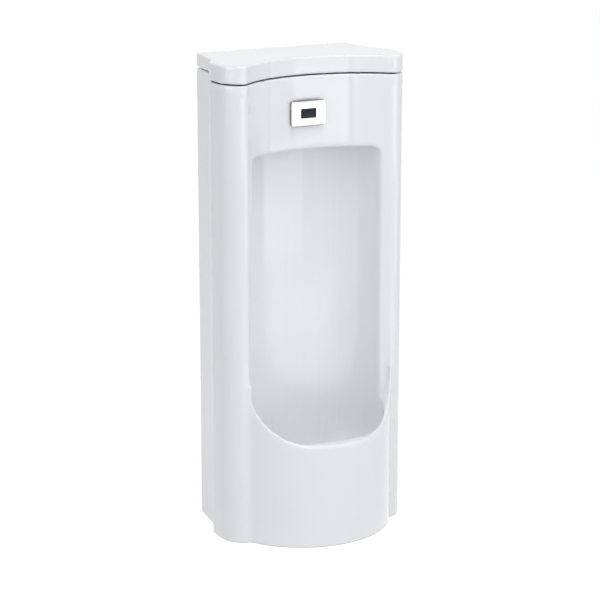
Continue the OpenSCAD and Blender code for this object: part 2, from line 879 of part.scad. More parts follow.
module valve_body() {
    color("peru") difference() {
        union() {
            translate([valve_x, barrel_y, barrel_bottom_z])
                cylinder(r = barrel_r, h = barrel_top_z - barrel_bottom_z, $fn = fine);
            translate([valve_x, valve_back_y, supply_z]) rotate([90, 0, 0])
                cylinder(r = supply_r, h = valve_back_y - barrel_y, $fn = fine);
            translate([valve_x, stop_y, supply_z - boss_down])
                cylinder(r = boss_r, h = boss_down + plug_r + boss_up, $fn = fine);
            translate([outlet_x, barrel_y, outlet_z]) rotate([0, 90, 0])
                cylinder(r = tube_nut_r - 1, h = valve_x - outlet_x, $fn = fine);
        }
        // Supply way, stop's bore and its gland
        translate([valve_x, valve_back_y + over, supply_z]) rotate([90, 0, 0])
            cylinder(r = way_r, h = valve_back_y - barrel_y - pressure_r / 2, $fn = fine);
        translate([valve_x, stop_y, supply_z - plug_r])
            cylinder(r = plug_r + run_gap, h = 2 * plug_r + 2 * fit_gap, $fn = fine);
        translate([valve_x, stop_y, supply_z])
            cylinder(r = stem_r + run_gap, h = plug_r + boss_up + over, $fn = fine);
        // Pressure chamber around the seat, and the way down to the outlet
        translate([valve_x, barrel_y, pressure_z])
            ring(pressure_r, seat_r, barrel_top_z - pressure_z + over);
        translate([valve_x, barrel_y, outlet_z - way_r])
            cylinder(r = way_r, h = barrel_top_z - outlet_z + way_r + over, $fn = fine);
        translate([outlet_x - over, barrel_y, outlet_z]) rotate([0, 90, 0])
            cylinder(r = outlet_way_r, h = valve_x - outlet_x + over, $fn = fine);
        translate([outlet_x - over, barrel_y, outlet_z]) rotate([0, 90, 0])
            cylinder(r = tube_r + run_gap, h = tube_in + fit_gap + over, $fn = fine);
        bonnet_holes(barrel_top_z - screw_in - over);
    }
}

module bonnet_holes(from_z) {
    for (a = [45 : 90 : 315])
        translate([valve_x + screw_ring_r * cos(a), barrel_y + screw_ring_r * sin(a), from_z])
            cylinder(r = screw_r + run_gap, h = core_z - from_z + over, $fn = 24);
}

module valve_diaphragm() {
    color("black") difference() {
        union() {
            translate([valve_x, barrel_y, barrel_top_z]) ring(barrel_r, bleed_r, diaphragm_t);
            translate([valve_x, barrel_y, barrel_top_z - bead_t])
                ring(seat_r + bead_t, bleed_r, bead_t + diaphragm_t / 2);
        }
        bonnet_holes(barrel_top_z - over);
        translate([valve_x, barrel_y, barrel_top_z - bead_t - over])
            ring(seat_r + fit_gap, way_r - fit_gap, bead_t + over + fit_gap / 2);
    }
}

// Bonnet with the pilot chamber under it
module valve_bonnet() {
    color("darkslategray") difference() {
        translate([valve_x, barrel_y, bonnet_z]) cylinder(r = barrel_r, h = bonnet_t, $fn = fine);
        translate([valve_x, barrel_y, bonnet_z - over])
            cylinder(r = pressure_r, h = bonnet_t - bonnet_roof + over, $fn = fine);
        translate([valve_x, barrel_y, bonnet_z])
            cylinder(r = core_r + fit_gap / 2, h = bonnet_t + over, $fn = fine);
        bonnet_holes(bonnet_z - over);
    }
}

module bonnet_screws() {
    color("silver") for (a = [45 : 90 : 315])
        translate([valve_x + screw_ring_r * cos(a), barrel_y + screw_ring_r * sin(a), 0]) {
            translate([0, 0, barrel_top_z - screw_in])
                cylinder(r = screw_r, h = core_z - barrel_top_z + screw_in, $fn = 24);
            translate([0, 0, core_z]) cylinder(r = screw_head_r, h = screw_head_h, $fn = 24);
        }
}

core_top_z = core_z + core_h;
core_r = plunger_r + core_wall;
collar_r = core_r + 2.5;
collar_t = 1.5;
collar_z = core_z - bonnet_roof - collar_t;

// Closed tube that guides the plunger, with a collar under the bonnet's roof
module core_tube() {
    core_l = core_top_z - collar_z;
    color("silver") translate([valve_x, barrel_y, collar_z]) difference() {
        union() {
            cylinder(r = core_r, h = core_l, $fn = fine);
            cylinder(r = collar_r, h = collar_t, $fn = fine);
        }
        translate([0, 0, -over])
            cylinder(r = plunger_r + run_gap, h = core_l + over - core_end_t, $fn = fine);
    }
}

plunger_z = core_z - 3;
plunger_top_z = plunger_z + plunger_l;
spring_seat = 2;
pilot_r = 1.6;
pilot_l = 2;

module solenoid_plunger() {
    color("gray") translate([valve_x, barrel_y, plunger_z]) {
        difference() {
            cylinder(r = plunger_r, h = plunger_l, $fn = fine);
            translate([0, 0, plunger_l - spring_seat])
                cylinder(r = spring_r + 1, h = spring_seat + over, $fn = 32);
        }
        translate([0, 0, -pilot_l]) cylinder(r = pilot_r, h = pilot_l + over, $fn = 32);
    }
}

spring_r = 2.2;
spring_wire = 0.45;
spring_turns = 6;
spring_per_turn = 12;

// One unbroken coil between the plunger and the tube's closed end
module plunger_spring() {
    low = plunger_top_z - spring_seat + spring_wire + fit_gap / 2;
    high = core_top_z - core_end_t - spring_wire - fit_gap / 2;
    n = spring_turns * spring_per_turn;
    rise = (high - low) / (2 * PI * spring_turns);
    color("silver") translate([valve_x, barrel_y, 0])
        loft([for (i = [n : -1 : 0])
            let (a = 360 * i / spring_per_turn)
                cable_ring([spring_r * cos(a), spring_r * sin(a), mix(low, high, i / n)],
                           unit([-spring_r * sin(a), spring_r * cos(a), rise]), spring_wire)]);
}

module solenoid_coil() {
    color("navy") difference() {
        union() {
            translate([valve_x - coil_w / 2, barrel_y - coil_d / 2, core_z + coil_up])
                cube([coil_w, coil_d, coil_h - coil_up]);
            translate([valve_x - coil_w / 2 - gland_l, barrel_y, cable_exit_z]) rotate([0, 90, 0])
                cylinder(r = gland_r, h = gland_l + over, $fn = 32);
        }
        translate([valve_x, barrel_y, core_z]) cylinder(r = core_r + fit_gap / 2, h = core_h, $fn = fine);
        translate([valve_x - coil_w / 2 - gland_l - over, barrel_y, cable_exit_z]) rotate([0, 90, 0])
            cylinder(r = cable_r, h = gland_l + over, $fn = 32);
    }
}

module valve_cable() {
    start = [valve_x - coil_w / 2 - gland_l, barrel_y, cable_exit_z];
    end = [box_right_x + gland_l, head_y + box_lead_pitch, box_lead_z];
    color("black") cable([
        start + [lead_in, 0, 0], start - [lead_out / 4, 0, 0], start - [lead_out, 0, 0],
        mix(start, end, 0.14) + [0, lead_swing * 0.6, 0], mix(start, end, 0.4) + [0, lead_swing * 0.8, 0],
        mix(start, end, 0.7) + [0, lead_swing * 0.5, -2 * lead_low],
        end + [2 * lead_bow, lead_low, -lead_low], end + [lead_out, 0, 0],
        end + [lead_out / 4, 0, 0], end - [lead_in, 0, 0]
    ], cable_r - fit_gap);
}

// Quarter-turn stop: a plug with a cross way, and a stem with a screwdriver slot
stem_past = 2;
stem_top_z = supply_z + plug_r + boss_up + stem_past;
slot_in = 2;
slot_t = 1.2;

module stop_spindle() {
    color("goldenrod") difference() {
        union() {
            translate([valve_x, stop_y, supply_z - plug_r + fit_gap])
                cylinder(r = plug_r, h = 2 * plug_r, $fn = fine);
            translate([valve_x, stop_y, supply_z])
                cylinder(r = stem_r, h = stem_top_z - supply_z, $fn = fine);
        }
        translate([valve_x, stop_y + plug_r + over, supply_z]) rotate([90, 0, 0])
            cylinder(r = way_r - 1, h = 2 * (plug_r + over), $fn = fine);
        translate([valve_x - slot_t / 2, stop_y - stem_r - over, stem_top_z - slot_in])
            cube([slot_t, 2 * (stem_r + over), slot_in + over]);
    }
}

inlet_back_y = back_y - 2;
lock_nut_l = 7;

module inlet_pipe() {
    color("peru") difference() {
        translate([valve_x, inlet_back_y, supply_z]) rotate([90, 0, 0])
            cylinder(r = supply_r, h = inlet_back_y - valve_back_y, $fn = fine);
        translate([valve_x, inlet_back_y + over, supply_z]) rotate([90, 0, 0])
            cylinder(r = way_r, h = inlet_back_y - valve_back_y + 2 * over, $fn = fine);
        translate([valve_x, inlet_back_y + over, supply_z]) rotate([90, 0, 0])
            cylinder(r = thread_r, h = thread_l + over, $fn = fine);
    }
}

// Union nut at the valve and lock nut against the grommet
module inlet_nuts() {
    color("silver") {
        translate([valve_x, valve_back_y + supply_nut_l / 2, supply_z]) rotate([90, 0, 0])
            hex_nut(supply_r + supply_nut_out, supply_r + run_gap, supply_nut_l);
        translate([valve_x, rear_in_y - grommet_flange_t, supply_z]) rotate([90, 0, 0])
            hex_nut(supply_r + supply_nut_out, supply_r + run_gap, lock_nut_l);
    }
}

module inlet_grommet() {
    color("dimgray") {
        lying_ring(valve_x, rear_in_y, supply_z, supply_r + grommet_t, supply_r + run_gap, wall);
        lying_ring(valve_x, rear_in_y - grommet_flange_t, supply_z,
                   grommet_flange_r, supply_r + run_gap, grommet_flange_t);
    }
}

// Saddle under the valve, on two rubber pads
saddle_w = 30;
saddle_t = 2;
saddle_foot = 16;
saddle_pad_t = 2;
saddle_pad_r = 7;

module valve_bracket() {
    low = chamber_z + saddle_pad_t;
    color("silver") {
        translate([valve_x - saddle_w, barrel_y - barrel_r / 2, barrel_bottom_z - saddle_t])
            cube([2 * saddle_w, barrel_r, saddle_t]);
        for (s = [-1, 1]) translate([valve_x + s * saddle_w, barrel_y - barrel_r / 2, low]) {
            translate([(-s - 1) * saddle_t / 2, 0, 0]) cube([saddle_t, barrel_r, barrel_bottom_z - low]);
            translate([s * (saddle_foot / 2 - saddle_t) - saddle_foot / 2, 0, 0])
                cube([saddle_foot, barrel_r, saddle_t]);
        }
    }
}

module bracket_pads() {
    color("dimgray") for (s = [-1, 1])
        translate([valve_x + s * (saddle_w + saddle_foot / 2 - saddle_t), barrel_y, chamber_z])
            cylinder(r = saddle_pad_r, h = saddle_pad_t, $fn = 32);
}

// Flushing tube: along to the middle, then down to the head
tube_in = 6;
tube_nut_l = 9;
head_nut_l = 4;
tube_low_z = outlet_z - tube_bend;
head_top_z = tube_low_z - head_nut_l;

module tube_profile() {
    difference() {
        circle(r = tube_r, $fn = fine);
        circle(r = tube_r - tube_t, $fn = fine);
    }
}

module flush_tube() {
    color("silver") {
        translate([tube_bend, head_y, outlet_z]) rotate([0, 90, 0])
            linear_extrude(outlet_x + tube_in - tube_bend) tube_profile();
        translate([tube_bend, head_y, tube_low_z]) rotate([90, 0, 0]) rotate([0, 0, 90])
            rotate_extrude(angle = 90, $fn = arc_fn) translate([tube_bend, 0]) tube_profile();
        translate([0, head_y, head_top_z]) linear_extrude(tube_low_z - head_top_z) tube_profile();
    }
}

// Hexagon nuts at the tube's two ends
module outlet_nuts() {
    color("silver") {
        translate([outlet_x - tube_nut_l, head_y, outlet_z]) rotate([0, 90, 0])
            hex_nut(tube_nut_r + 2, tube_r + run_gap, tube_nut_l);
        translate([0, head_y, head_top_z]) hex_nut(tube_nut_r, tube_r + run_gap, head_nut_l);
    }
}

washer_t = 2;
head_t = 3;
head_floor_t = 2;
head_nut_t = 5;
head_nut_r = head_stem_r + 5;
head_slots = 9;
head_slot_w = 2;
head_slot_h = 3;

// Head: a flange under the ceiling, a cup with fan slots and a hollow threaded stem
module spreader() {
    low = ceiling_z - head_drop;
    flange_low = ceiling_z - washer_t - head_t;
    color("silver") translate([0, head_y, 0]) difference() {
        union() {
            translate([0, 0, flange_low]) cylinder(r = head_r, h = head_t, $fn = fine);
            translate([0, 0, low])
                cylinder(r1 = head_r - 5, r2 = head_r - 2, h = flange_low - low + over, $fn = fine);
            translate([0, 0, flange_low])
                cylinder(r = head_stem_r, h = head_top_z - flange_low, $fn = fine);
        }
        translate([0, 0, low + head_floor_t]) cylinder(r = way_r, h = head_top_z - low, $fn = fine);
        for (k = [0 : head_slots - 1])
            rotate([0, 0, 180 * k / (head_slots - 1)])
                translate([0, -head_slot_w / 2, low + head_floor_t])
                    cube([head_r, head_slot_w, head_slot_h]);
    }
}

module spreader_washers() {
    color("dimgray") translate([0, head_y, 0]) {
        translate([0, 0, ceiling_z - washer_t]) ring(head_r - 1, head_stem_r + run_gap, washer_t);
        translate([0, 0, chamber_z]) ring(head_nut_r, head_stem_r + run_gap, washer_t);
    }
}

module spreader_nut() {
    color("silver") translate([0, head_y, chamber_z + washer_t])
        hex_nut(head_nut_r, head_stem_r + run_gap, head_nut_t);
}

// Sleeves that line the fixing holes
module wall_bushes() {
    color("white") for (s = [-1, 1]) {
        lying_ring(s * fixing_x, rear_in_y, fixing_z, fixing_r + bush_t, fixing_r, wall);
        lying_ring(s * fixing_x, rear_in_y - bush_flange_t, fixing_z,
                   bush_flange_r, fixing_r, bush_flange_t);
    }
}

// Drain, from the strainer down to the floor
drain_gasket_t = 2;
flange_z = bowl_floor_z + drain_gasket_t;
flange_top_z = flange_z + flange_t;
tail_r = drain_hole_r - 1.5;
cup_r = tail_r - drain_t;
under_z = bowl_floor_z - wall;
cup_bottom_z = 44;
drain_end_z = 4;
drain_washer_t = 3;
drain_nut_t = 12;
drain_nut_out = 9;
strainer_edge_r = flange_r - 3;
strainer_top_r = 31;
skirt_t = 2;
skirt_drop = 4;
knob_h = 6;
knob_r = 6;
// Holes and radius of each ring
strainer_rows = [[6, 9], [12, 15.5], [18, 21]];

// Raised disc with three rings of holes, a lifting knob and a skirt that centres it in the drain
module drain_strainer() {
    color("silver") translate([0, drain_y, flange_top_z]) difference() {
        union() {
            rotate_extrude($fn = arc_fn) strainer_profile();
            translate([0, 0, strainer_up - over])
                cylinder(r1 = knob_r - 2, r2 = knob_r, h = knob_h + over, $fn = fine);
        }
        for (row = strainer_rows, k = [0 : row[0] - 1])
            rotate([0, 0, 360 * k / row[0]]) translate([row[1], 0, strainer_up - strainer_t - over])
                cylinder(r = strainer_hole_r, h = strainer_t + 2 * over, $fn = 24);
    }
}

// Half section: flat top, sloping shoulder and a foot on the flange, with the skirt under it
module strainer_profile() {
    under = strainer_up - strainer_t;
    difference() {
        polygon([[0, 0], [strainer_edge_r, 0], [strainer_edge_r, strainer_t / 2],
                 [strainer_top_r, strainer_up], [0, strainer_up]]);
        polygon([[-over, -over], [strainer_edge_r - strainer_t, -over],
                 [strainer_top_r - strainer_t / 2, under], [-over, under]]);
    }
    translate([cup_r - 3, -skirt_drop]) square([skirt_t, skirt_drop + strainer_up - strainer_t / 2]);
}

module drain_body() {
    color("whitesmoke") translate([0, drain_y, 0]) rotate_extrude($fn = arc_fn) difference() {
        union() {
            translate([0, flange_z]) square([flange_r, flange_t]);
            translate([0, cup_bottom_z]) square([tail_r, flange_z - cup_bottom_z + over]);
            translate([0, drain_end_z]) square([outlet_r, cup_bottom_z - drain_end_z + over]);
        }
        translate([-over, cup_bottom_z + drain_t]) square([cup_r + over, flange_top_z]);
        translate([-over, drain_end_z - over]) square([outlet_r - drain_t + over, cup_bottom_z]);
    }
}

trap_t = 2;
trap_gap = 0.4;
well_r = 6;

// Lift-out odour trap: a cup with an inner well, standing on the drain's inner step
module trap_insert() {
    low = cup_bottom_z + drain_t;
    high = flange_top_z - skirt_drop - over;
    color("seagreen") translate([0, drain_y, 0]) rotate_extrude($fn = arc_fn) difference() {
        translate([0, low]) square([cup_r - trap_gap, high - low]);
        translate([well_r + trap_t, low + trap_t])
            square([cup_r - trap_gap - well_r - 2 * trap_t, high - low]);
        translate([-over, low - over]) square([well_r + over, high - low - 2 * trap_t]);
    }
}

module drain_gasket() {
    color("dimgray") translate([0, drain_y, bowl_floor_z])
        ring(flange_r - 1, tail_r + run_gap, drain_gasket_t);
}

module drain_washer() {
    color("dimgray") translate([0, drain_y, under_z - drain_washer_t])
        ring(tail_r + drain_nut_out, tail_r + run_gap, drain_washer_t);
}

module drain_nut() {
    color("whitesmoke") translate([0, drain_y, under_z - drain_washer_t - drain_nut_t]) difference() {
        cylinder(r = tail_r + drain_nut_out, h = drain_nut_t, $fn = 8);
        translate([0, 0, -over]) cylinder(r = tail_r + run_gap, h = drain_nut_t + 2 * over, $fn = fine);
    }
}

seal_w = 22;

module floor_seal() {
    color("dimgray") translate([0, drain_y, 0]) ring(outlet_r + seal_w, outlet_r + fit_gap, seal_h);
}

ceramic_body();
top_cover();
cover_pads();
sensor_bezel();
sensor_window();
sensor_gasket();
sensor_housing();
sensor_board();
sensor_diodes();
sensor_clamp();
clamp_nuts();
sensor_cable();
battery_box();
battery_door();
door_pin();
batteries();
valve_cable();
valve_body();
valve_diaphragm();
valve_bonnet();
bonnet_screws();
solenoid_coil();
core_tube();
solenoid_plunger();
plunger_spring();
stop_spindle();
inlet_pipe();
inlet_nuts();
inlet_grommet();
valve_bracket();
bracket_pads();
flush_tube();
outlet_nuts();
spreader();
spreader_washers();
spreader_nut();
wall_bushes();
drain_strainer();
trap_insert();
drain_body();
drain_gasket();
drain_washer();
drain_nut();
floor_seal();
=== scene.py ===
import math
import bpy
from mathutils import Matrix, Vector


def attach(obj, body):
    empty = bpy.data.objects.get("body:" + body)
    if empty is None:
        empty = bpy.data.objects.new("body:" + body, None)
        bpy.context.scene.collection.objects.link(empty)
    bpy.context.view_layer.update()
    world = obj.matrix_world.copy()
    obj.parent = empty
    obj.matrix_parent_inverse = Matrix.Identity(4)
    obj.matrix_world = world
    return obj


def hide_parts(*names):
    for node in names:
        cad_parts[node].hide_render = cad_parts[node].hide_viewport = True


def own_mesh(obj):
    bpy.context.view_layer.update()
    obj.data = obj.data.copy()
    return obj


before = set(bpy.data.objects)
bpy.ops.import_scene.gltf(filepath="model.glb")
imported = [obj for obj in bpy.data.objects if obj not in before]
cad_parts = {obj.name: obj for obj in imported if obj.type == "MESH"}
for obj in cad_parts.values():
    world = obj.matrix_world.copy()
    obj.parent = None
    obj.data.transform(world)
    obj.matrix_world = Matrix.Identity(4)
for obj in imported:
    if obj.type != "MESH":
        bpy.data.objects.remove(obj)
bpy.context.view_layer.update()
print("solids loaded:", len(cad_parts))

# The camera stands at the photograph's side of the urinal and looks down on it
cameraSet = {
    "place": (-2.127, -4.0336, 1.65),
    "turn": 27.61,     # degrees to the right of straight ahead
    "tilt": -14.28,    # degrees, below level
    "lens": 135.0,     # mm
    "sensor": 36,      # mm across
}
camera = bpy.data.objects.new("camera", bpy.data.cameras.new("camera"))
bpy.context.scene.collection.objects.link(camera)
camera.location = cameraSet["place"]
camera.rotation_euler = (math.radians(90 + cameraSet["tilt"]), 0, -math.radians(cameraSet["turn"]))
camera.data.lens = cameraSet["lens"]
camera.data.sensor_width = cameraSet["sensor"]
bpy.context.scene.camera = camera
print("camera placed")


# Working on pieces

def pickNone():
    if bpy.context.object and bpy.context.object.mode != "OBJECT":
        bpy.ops.object.mode_set(mode="OBJECT")
    bpy.ops.object.select_all(action="DESELECT")


def pick(piece):
    pickNone()
    piece.select_set(True)
    bpy.context.view_layer.objects.active = piece


def modify(piece, kind, **settings):
    modifier = piece.modifiers.new(kind.lower(), kind)
    for name, value in settings.items():
        setattr(modifier, name, value)
    pick(piece)
    bpy.ops.object.modifier_apply(modifier=modifier.name)


joinWithin = 0.00001   # metres


def ownCopy(nodeName, pieceName):
    # a solid comes as loose triangles, so its doubles are merged before its edges are worked
    piece = bpy.data.objects.new(pieceName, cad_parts[nodeName].data.copy())
    bpy.context.scene.collection.objects.link(piece)
    piece.data.name = pieceName
    piece.data.materials.clear()
    pick(piece)
    bpy.ops.object.mode_set(mode="EDIT")
    bpy.ops.mesh.select_all(action="SELECT")
    bpy.ops.mesh.remove_doubles(threshold=joinWithin)
    bpy.ops.object.mode_set(mode="OBJECT")
    return piece


def boxOf(nodeName):
    corners = [Vector(corner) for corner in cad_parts[nodeName].bound_box]
    low = Vector([min(corner[i] for corner in corners) for i in range(3)])
    high = Vector([max(corner[i] for corner in corners) for i in range(3)])
    return low, high


def triangleCount(piece):
    return sum(len(face.vertices) - 2 for face in piece.data.polygons)


def finishPiece(piece, nodeNames, body, material, smoothAngle=None):
    piece.data.materials.clear()
    piece.data.materials.append(material)
    pick(piece)
    if smoothAngle is None:
        bpy.ops.object.shade_smooth()
    else:
        bpy.ops.object.shade_smooth_by_angle(angle=math.radians(smoothAngle))
    for nodeName in nodeNames:
        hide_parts(nodeName)
    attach(piece, body)
    return piece


# Shader groups that several finishes share

def newGroup(name, inputs, outputs):
    group = bpy.data.node_groups.new(name, "ShaderNodeTree")
    for label, kind, value in inputs:
        socket = group.interface.new_socket(label, in_out="INPUT", socket_type="NodeSocket" + kind)
        if value is not None:
            socket.default_value = value
    for label, kind in outputs:
        group.interface.new_socket(label, in_out="OUTPUT", socket_type="NodeSocket" + kind)
    return group, group.nodes.new("NodeGroupInput"), group.nodes.new("NodeGroupOutput")


def addNode(tree, kind, inputs=None, **settings):
    node = tree.nodes.new("ShaderNode" + kind)
    for name, value in settings.items():
        setattr(node, name, value)
    for name, value in (inputs or {}).items():
        if isinstance(value, bpy.types.NodeSocket):
            tree.links.new(value, node.inputs[name])
        else:
            node.inputs[name].default_value = value
    return node


def noise(tree, vector, scale, detail=4.0, roughness=0.55):
    return addNode(tree, "TexNoise", {"Vector": vector, "Scale": scale, "Detail": detail,
                                      "Roughness": roughness}).outputs["Fac"]


def spread(tree, value, fromMin, fromMax, toMin=0.0, toMax=1.0):
    return addNode(tree, "MapRange", {"Value": value, "From Min": fromMin, "From Max": fromMax,
                                      "To Min": toMin, "To Max": toMax}).outputs["Result"]


def calc(tree, operation, a, b=0.0):
    return addNode(tree, "Math", {0: a, 1: b}, operation=operation).outputs[0]


midRange = (0.3, 0.7)   # where most of a noise's values lie

# Broad, soft unevenness: the slight waves of a fired or moulded skin
finerBy = 40.0
wavesGroup, waveIn, waveOut = newGroup(
    "skinWaves",
    [("Vector", "Vector", None), ("Scale", "Float", 12.0), ("Fine", "Float", 0.15)],
    [("Height", "Float"), ("Mask", "Float")])
broad = noise(wavesGroup, waveIn.outputs["Vector"], waveIn.outputs["Scale"], detail=2.0)
fineScale = calc(wavesGroup, "MULTIPLY", waveIn.outputs["Scale"], finerBy)
fine = noise(wavesGroup, waveIn.outputs["Vector"], fineScale, detail=3.0)
fineHeight = calc(wavesGroup, "MULTIPLY", fine, waveIn.outputs["Fine"])
wavesGroup.links.new(calc(wavesGroup, "ADD", broad, fineHeight), waveOut.inputs["Height"])
wavesGroup.links.new(spread(wavesGroup, broad, *midRange), waveOut.inputs["Mask"])

# Moulded grain: tiny pits of even size, and wider patches where it is worn
wearSet = {"scale": 55.0, "range": (0.35, 0.65)}
grainGroup, grainIn, grainOut = newGroup(
    "mouldGrain",
    [("Vector", "Vector", None), ("Scale", "Float", 900.0)],
    [("Height", "Float"), ("Mask", "Float")])
pits = addNode(grainGroup, "TexVoronoi", {"Vector": grainIn.outputs["Vector"],
                                          "Scale": grainIn.outputs["Scale"]})
grainGroup.links.new(pits.outputs["Distance"], grainOut.inputs["Height"])
wear = noise(grainGroup, grainIn.outputs["Vector"], wearSet["scale"])
grainGroup.links.new(spread(grainGroup, wear, *wearSet["range"]), grainOut.inputs["Mask"])

# Brushing: noise drawn out along one direction
brushGroup, brushIn, brushOut = newGroup(
    "brushing",
    [("Vector", "Vector", None), ("Stretch", "Vector", (1.0, 40.0, 40.0)), ("Scale", "Float", 60.0)],
    [("Height", "Float"), ("Mask", "Float")])
drawn = addNode(brushGroup, "VectorMath", {0: brushIn.outputs["Vector"], 1: brushIn.outputs["Stretch"]},
                operation="MULTIPLY").outputs[0]
lines = noise(brushGroup, drawn, brushIn.outputs["Scale"], detail=6.0, roughness=0.7)
brushGroup.links.new(lines, brushOut.inputs["Height"])
brushGroup.links.new(spread(brushGroup, lines, *midRange), brushOut.inputs["Mask"])

# Dust and handling: settles on what faces up, and breaks up the gloss elsewhere
settleSet = {"facing": (0.4, 1.0), "patches": (0.35, 0.7), "handling": (0.3, 0.75)}
dustGroup, dustIn, dustOut = newGroup(
    "dustAndHandling",
    [("Vector", "Vector", None), ("Scale", "Float", 25.0), ("Dust", "Float", 0.3)],
    [("Dust", "Float"), ("Handling", "Float")])
facing = addNode(dustGroup, "SeparateXYZ", {0: addNode(dustGroup, "NewGeometry").outputs["Normal"]})
patches = noise(dustGroup, dustIn.outputs["Vector"], dustIn.outputs["Scale"], detail=5.0)
settled = calc(dustGroup, "MULTIPLY", spread(dustGroup, facing.outputs["Z"], *settleSet["facing"]),
               spread(dustGroup, patches, *settleSet["patches"]))
dustGroup.links.new(calc(dustGroup, "MULTIPLY", settled, dustIn.outputs["Dust"]), dustOut.inputs["Dust"])
dustGroup.links.new(spread(dustGroup, patches, *settleSet["handling"]), dustOut.inputs["Handling"])


def newMaterial(name, **constants):
    material = bpy.data.materials.new(name)
    material.use_nodes = True
    shader = material.node_tree.nodes["Principled BSDF"]
    for socket, value in constants.items():
        shader.inputs[socket.replace("_", " ")].default_value = value
    place = addNode(material.node_tree, "TexCoord").outputs["Object"]
    return material, material.node_tree, shader, place


def useGroup(tree, group, place, **values):
    node = addNode(tree, "Group", node_tree=group)
    tree.links.new(place, node.inputs["Vector"])
    for name, value in values.items():
        node.inputs[name].default_value = value
    return node.outputs


def mixColor(tree, mask, colorA, colorB):
    # of the node's many sockets, 6 and 7 take the colours and output 2 gives their mix
    node = addNode(tree, "Mix", {0: mask}, data_type="RGBA")
    for socket, value in ((node.inputs[6], colorA), (node.inputs[7], colorB)):
        if isinstance(value, bpy.types.NodeSocket):
            tree.links.new(value, socket)
        else:
            socket.default_value = (*value, 1.0)
    return node.outputs[2]


def bump(tree, shader, height, strength, distance):
    node = addNode(tree, "Bump", {"Height": height, "Strength": strength, "Distance": distance})
    tree.links.new(node.outputs["Normal"], shader.inputs["Normal"])


def handledRoughness(tree, shader, handling, uneven, rough):
    added = calc(tree, "MULTIPLY", handling, uneven)
    tree.links.new(calc(tree, "ADD", added, rough), shader.inputs["Roughness"])


def placeMask(tree, value, start, over, inverse=False):
    return spread(tree, value, start, start + over, 1.0 if inverse else 0.0, 0.0 if inverse else 1.0)


# Fired white glaze, bare and matt where the body stands and where it meets the wall
chinaSet = {
    "glaze": (0.838, 0.845, 0.872),
    "glazeWarm": (0.83, 0.836, 0.858),
    "biscuit": (0.72, 0.69, 0.63),
    "coat": 0.35,
    "coatRough": 0.03,
    "index": 1.52,
    "rough": 0.105,
    "handled": 0.05,       # added roughness where hands and cloths went
    "bareRough": 0.6,      # added roughness where there is no glaze
    "waveScale": 9.0,
    "waveFine": 0.02,
    "waveBump": 0.25,
    "waveDepth": 0.0006,
    "handlingScale": 18.0,
    "edgeScale": 160.0,    # how finely the glaze's edge wanders
    "edgeOver": 0.0006,
    "footHeight": 0.0025,
    "footEnd": 0.00175,
    "backDepth": 0.1612,
}
china, tree, shader, place = newMaterial("glazedChina", Coat_Weight=chinaSet["coat"],
                                         Coat_Roughness=chinaSet["coatRough"], IOR=chinaSet["index"])
waves = useGroup(tree, wavesGroup, place, Scale=chinaSet["waveScale"], Fine=chinaSet["waveFine"])
handling = useGroup(tree, dustGroup, place, Scale=chinaSet["handlingScale"])["Handling"]
where = addNode(tree, "SeparateXYZ", {0: place})
edgeNoise = spread(tree, noise(tree, place, chinaSet["edgeScale"]), *midRange,
                   -chinaSet["edgeOver"], chinaSet["edgeOver"])
footMask = spread(tree, calc(tree, "ADD", where.outputs["Z"], edgeNoise),
                  chinaSet["footHeight"], chinaSet["footEnd"])
backMask = spread(tree, calc(tree, "ADD", where.outputs["Y"], edgeNoise),
                  chinaSet["backDepth"], chinaSet["backDepth"] + chinaSet["edgeOver"])
bare = calc(tree, "MAXIMUM", footMask, backMask)
glaze = mixColor(tree, waves["Mask"], chinaSet["glaze"], chinaSet["glazeWarm"])
tree.links.new(mixColor(tree, bare, glaze, chinaSet["biscuit"]), shader.inputs["Base Color"])
glossy = calc(tree, "ADD", calc(tree, "MULTIPLY", handling, chinaSet["handled"]), chinaSet["rough"])
bareRough = calc(tree, "MULTIPLY", bare, chinaSet["bareRough"])
tree.links.new(calc(tree, "ADD", glossy, bareRough), shader.inputs["Roughness"])
coat = calc(tree, "MULTIPLY", calc(tree, "SUBTRACT", 1.0, bare), chinaSet["coat"])
tree.links.new(coat, shader.inputs["Coat Weight"])
bump(tree, shader, waves["Height"], chinaSet["waveBump"], chinaSet["waveDepth"])
print("glaze mixed")


# Moulded plastics and rubbers: a fine grain, a little wear of the colour, dust on what faces up
mouldSet = {"dustScale": 40.0, "dustColor": (0.55, 0.54, 0.5), "pitDepth": 0.00012}


def moulded(name, settings, **constants):
    material, tree, shader, place = newMaterial(name, **constants)
    grain = useGroup(tree, grainGroup, place, Scale=settings["grainScale"])
    dust = useGroup(tree, dustGroup, place, Scale=mouldSet["dustScale"], Dust=settings["dust"])
    worn = mixColor(tree, grain["Mask"], settings["color"], settings["worn"])
    dusty = mixColor(tree, dust["Dust"], worn, mouldSet["dustColor"])
    tree.links.new(dusty, shader.inputs["Base Color"])
    handledRoughness(tree, shader, dust["Handling"], settings["uneven"], settings["rough"])
    bump(tree, shader, grain["Height"], settings["bump"], mouldSet["pitDepth"])
    return material


rubberSet = {"color": (0.02, 0.02, 0.021), "worn": (0.034, 0.034, 0.034), "grainScale": 1400.0,
             "dust": 0.18, "rough": 0.62, "uneven": 0.2, "bump": 0.25}
rubber = moulded("rubber", rubberSet)
greyRubberSet = {**rubberSet, "color": (0.11, 0.11, 0.113), "worn": (0.15, 0.15, 0.15)}
greyRubber = moulded("greyRubber", greyRubberSet)

darkPlasticSet = {"color": (0.035, 0.037, 0.041), "worn": (0.05, 0.052, 0.056), "grainScale": 1100.0,
                  "dust": 0.14, "rough": 0.42, "uneven": 0.14, "bump": 0.3}
darkPlastic = moulded("darkPlastic", darkPlasticSet)

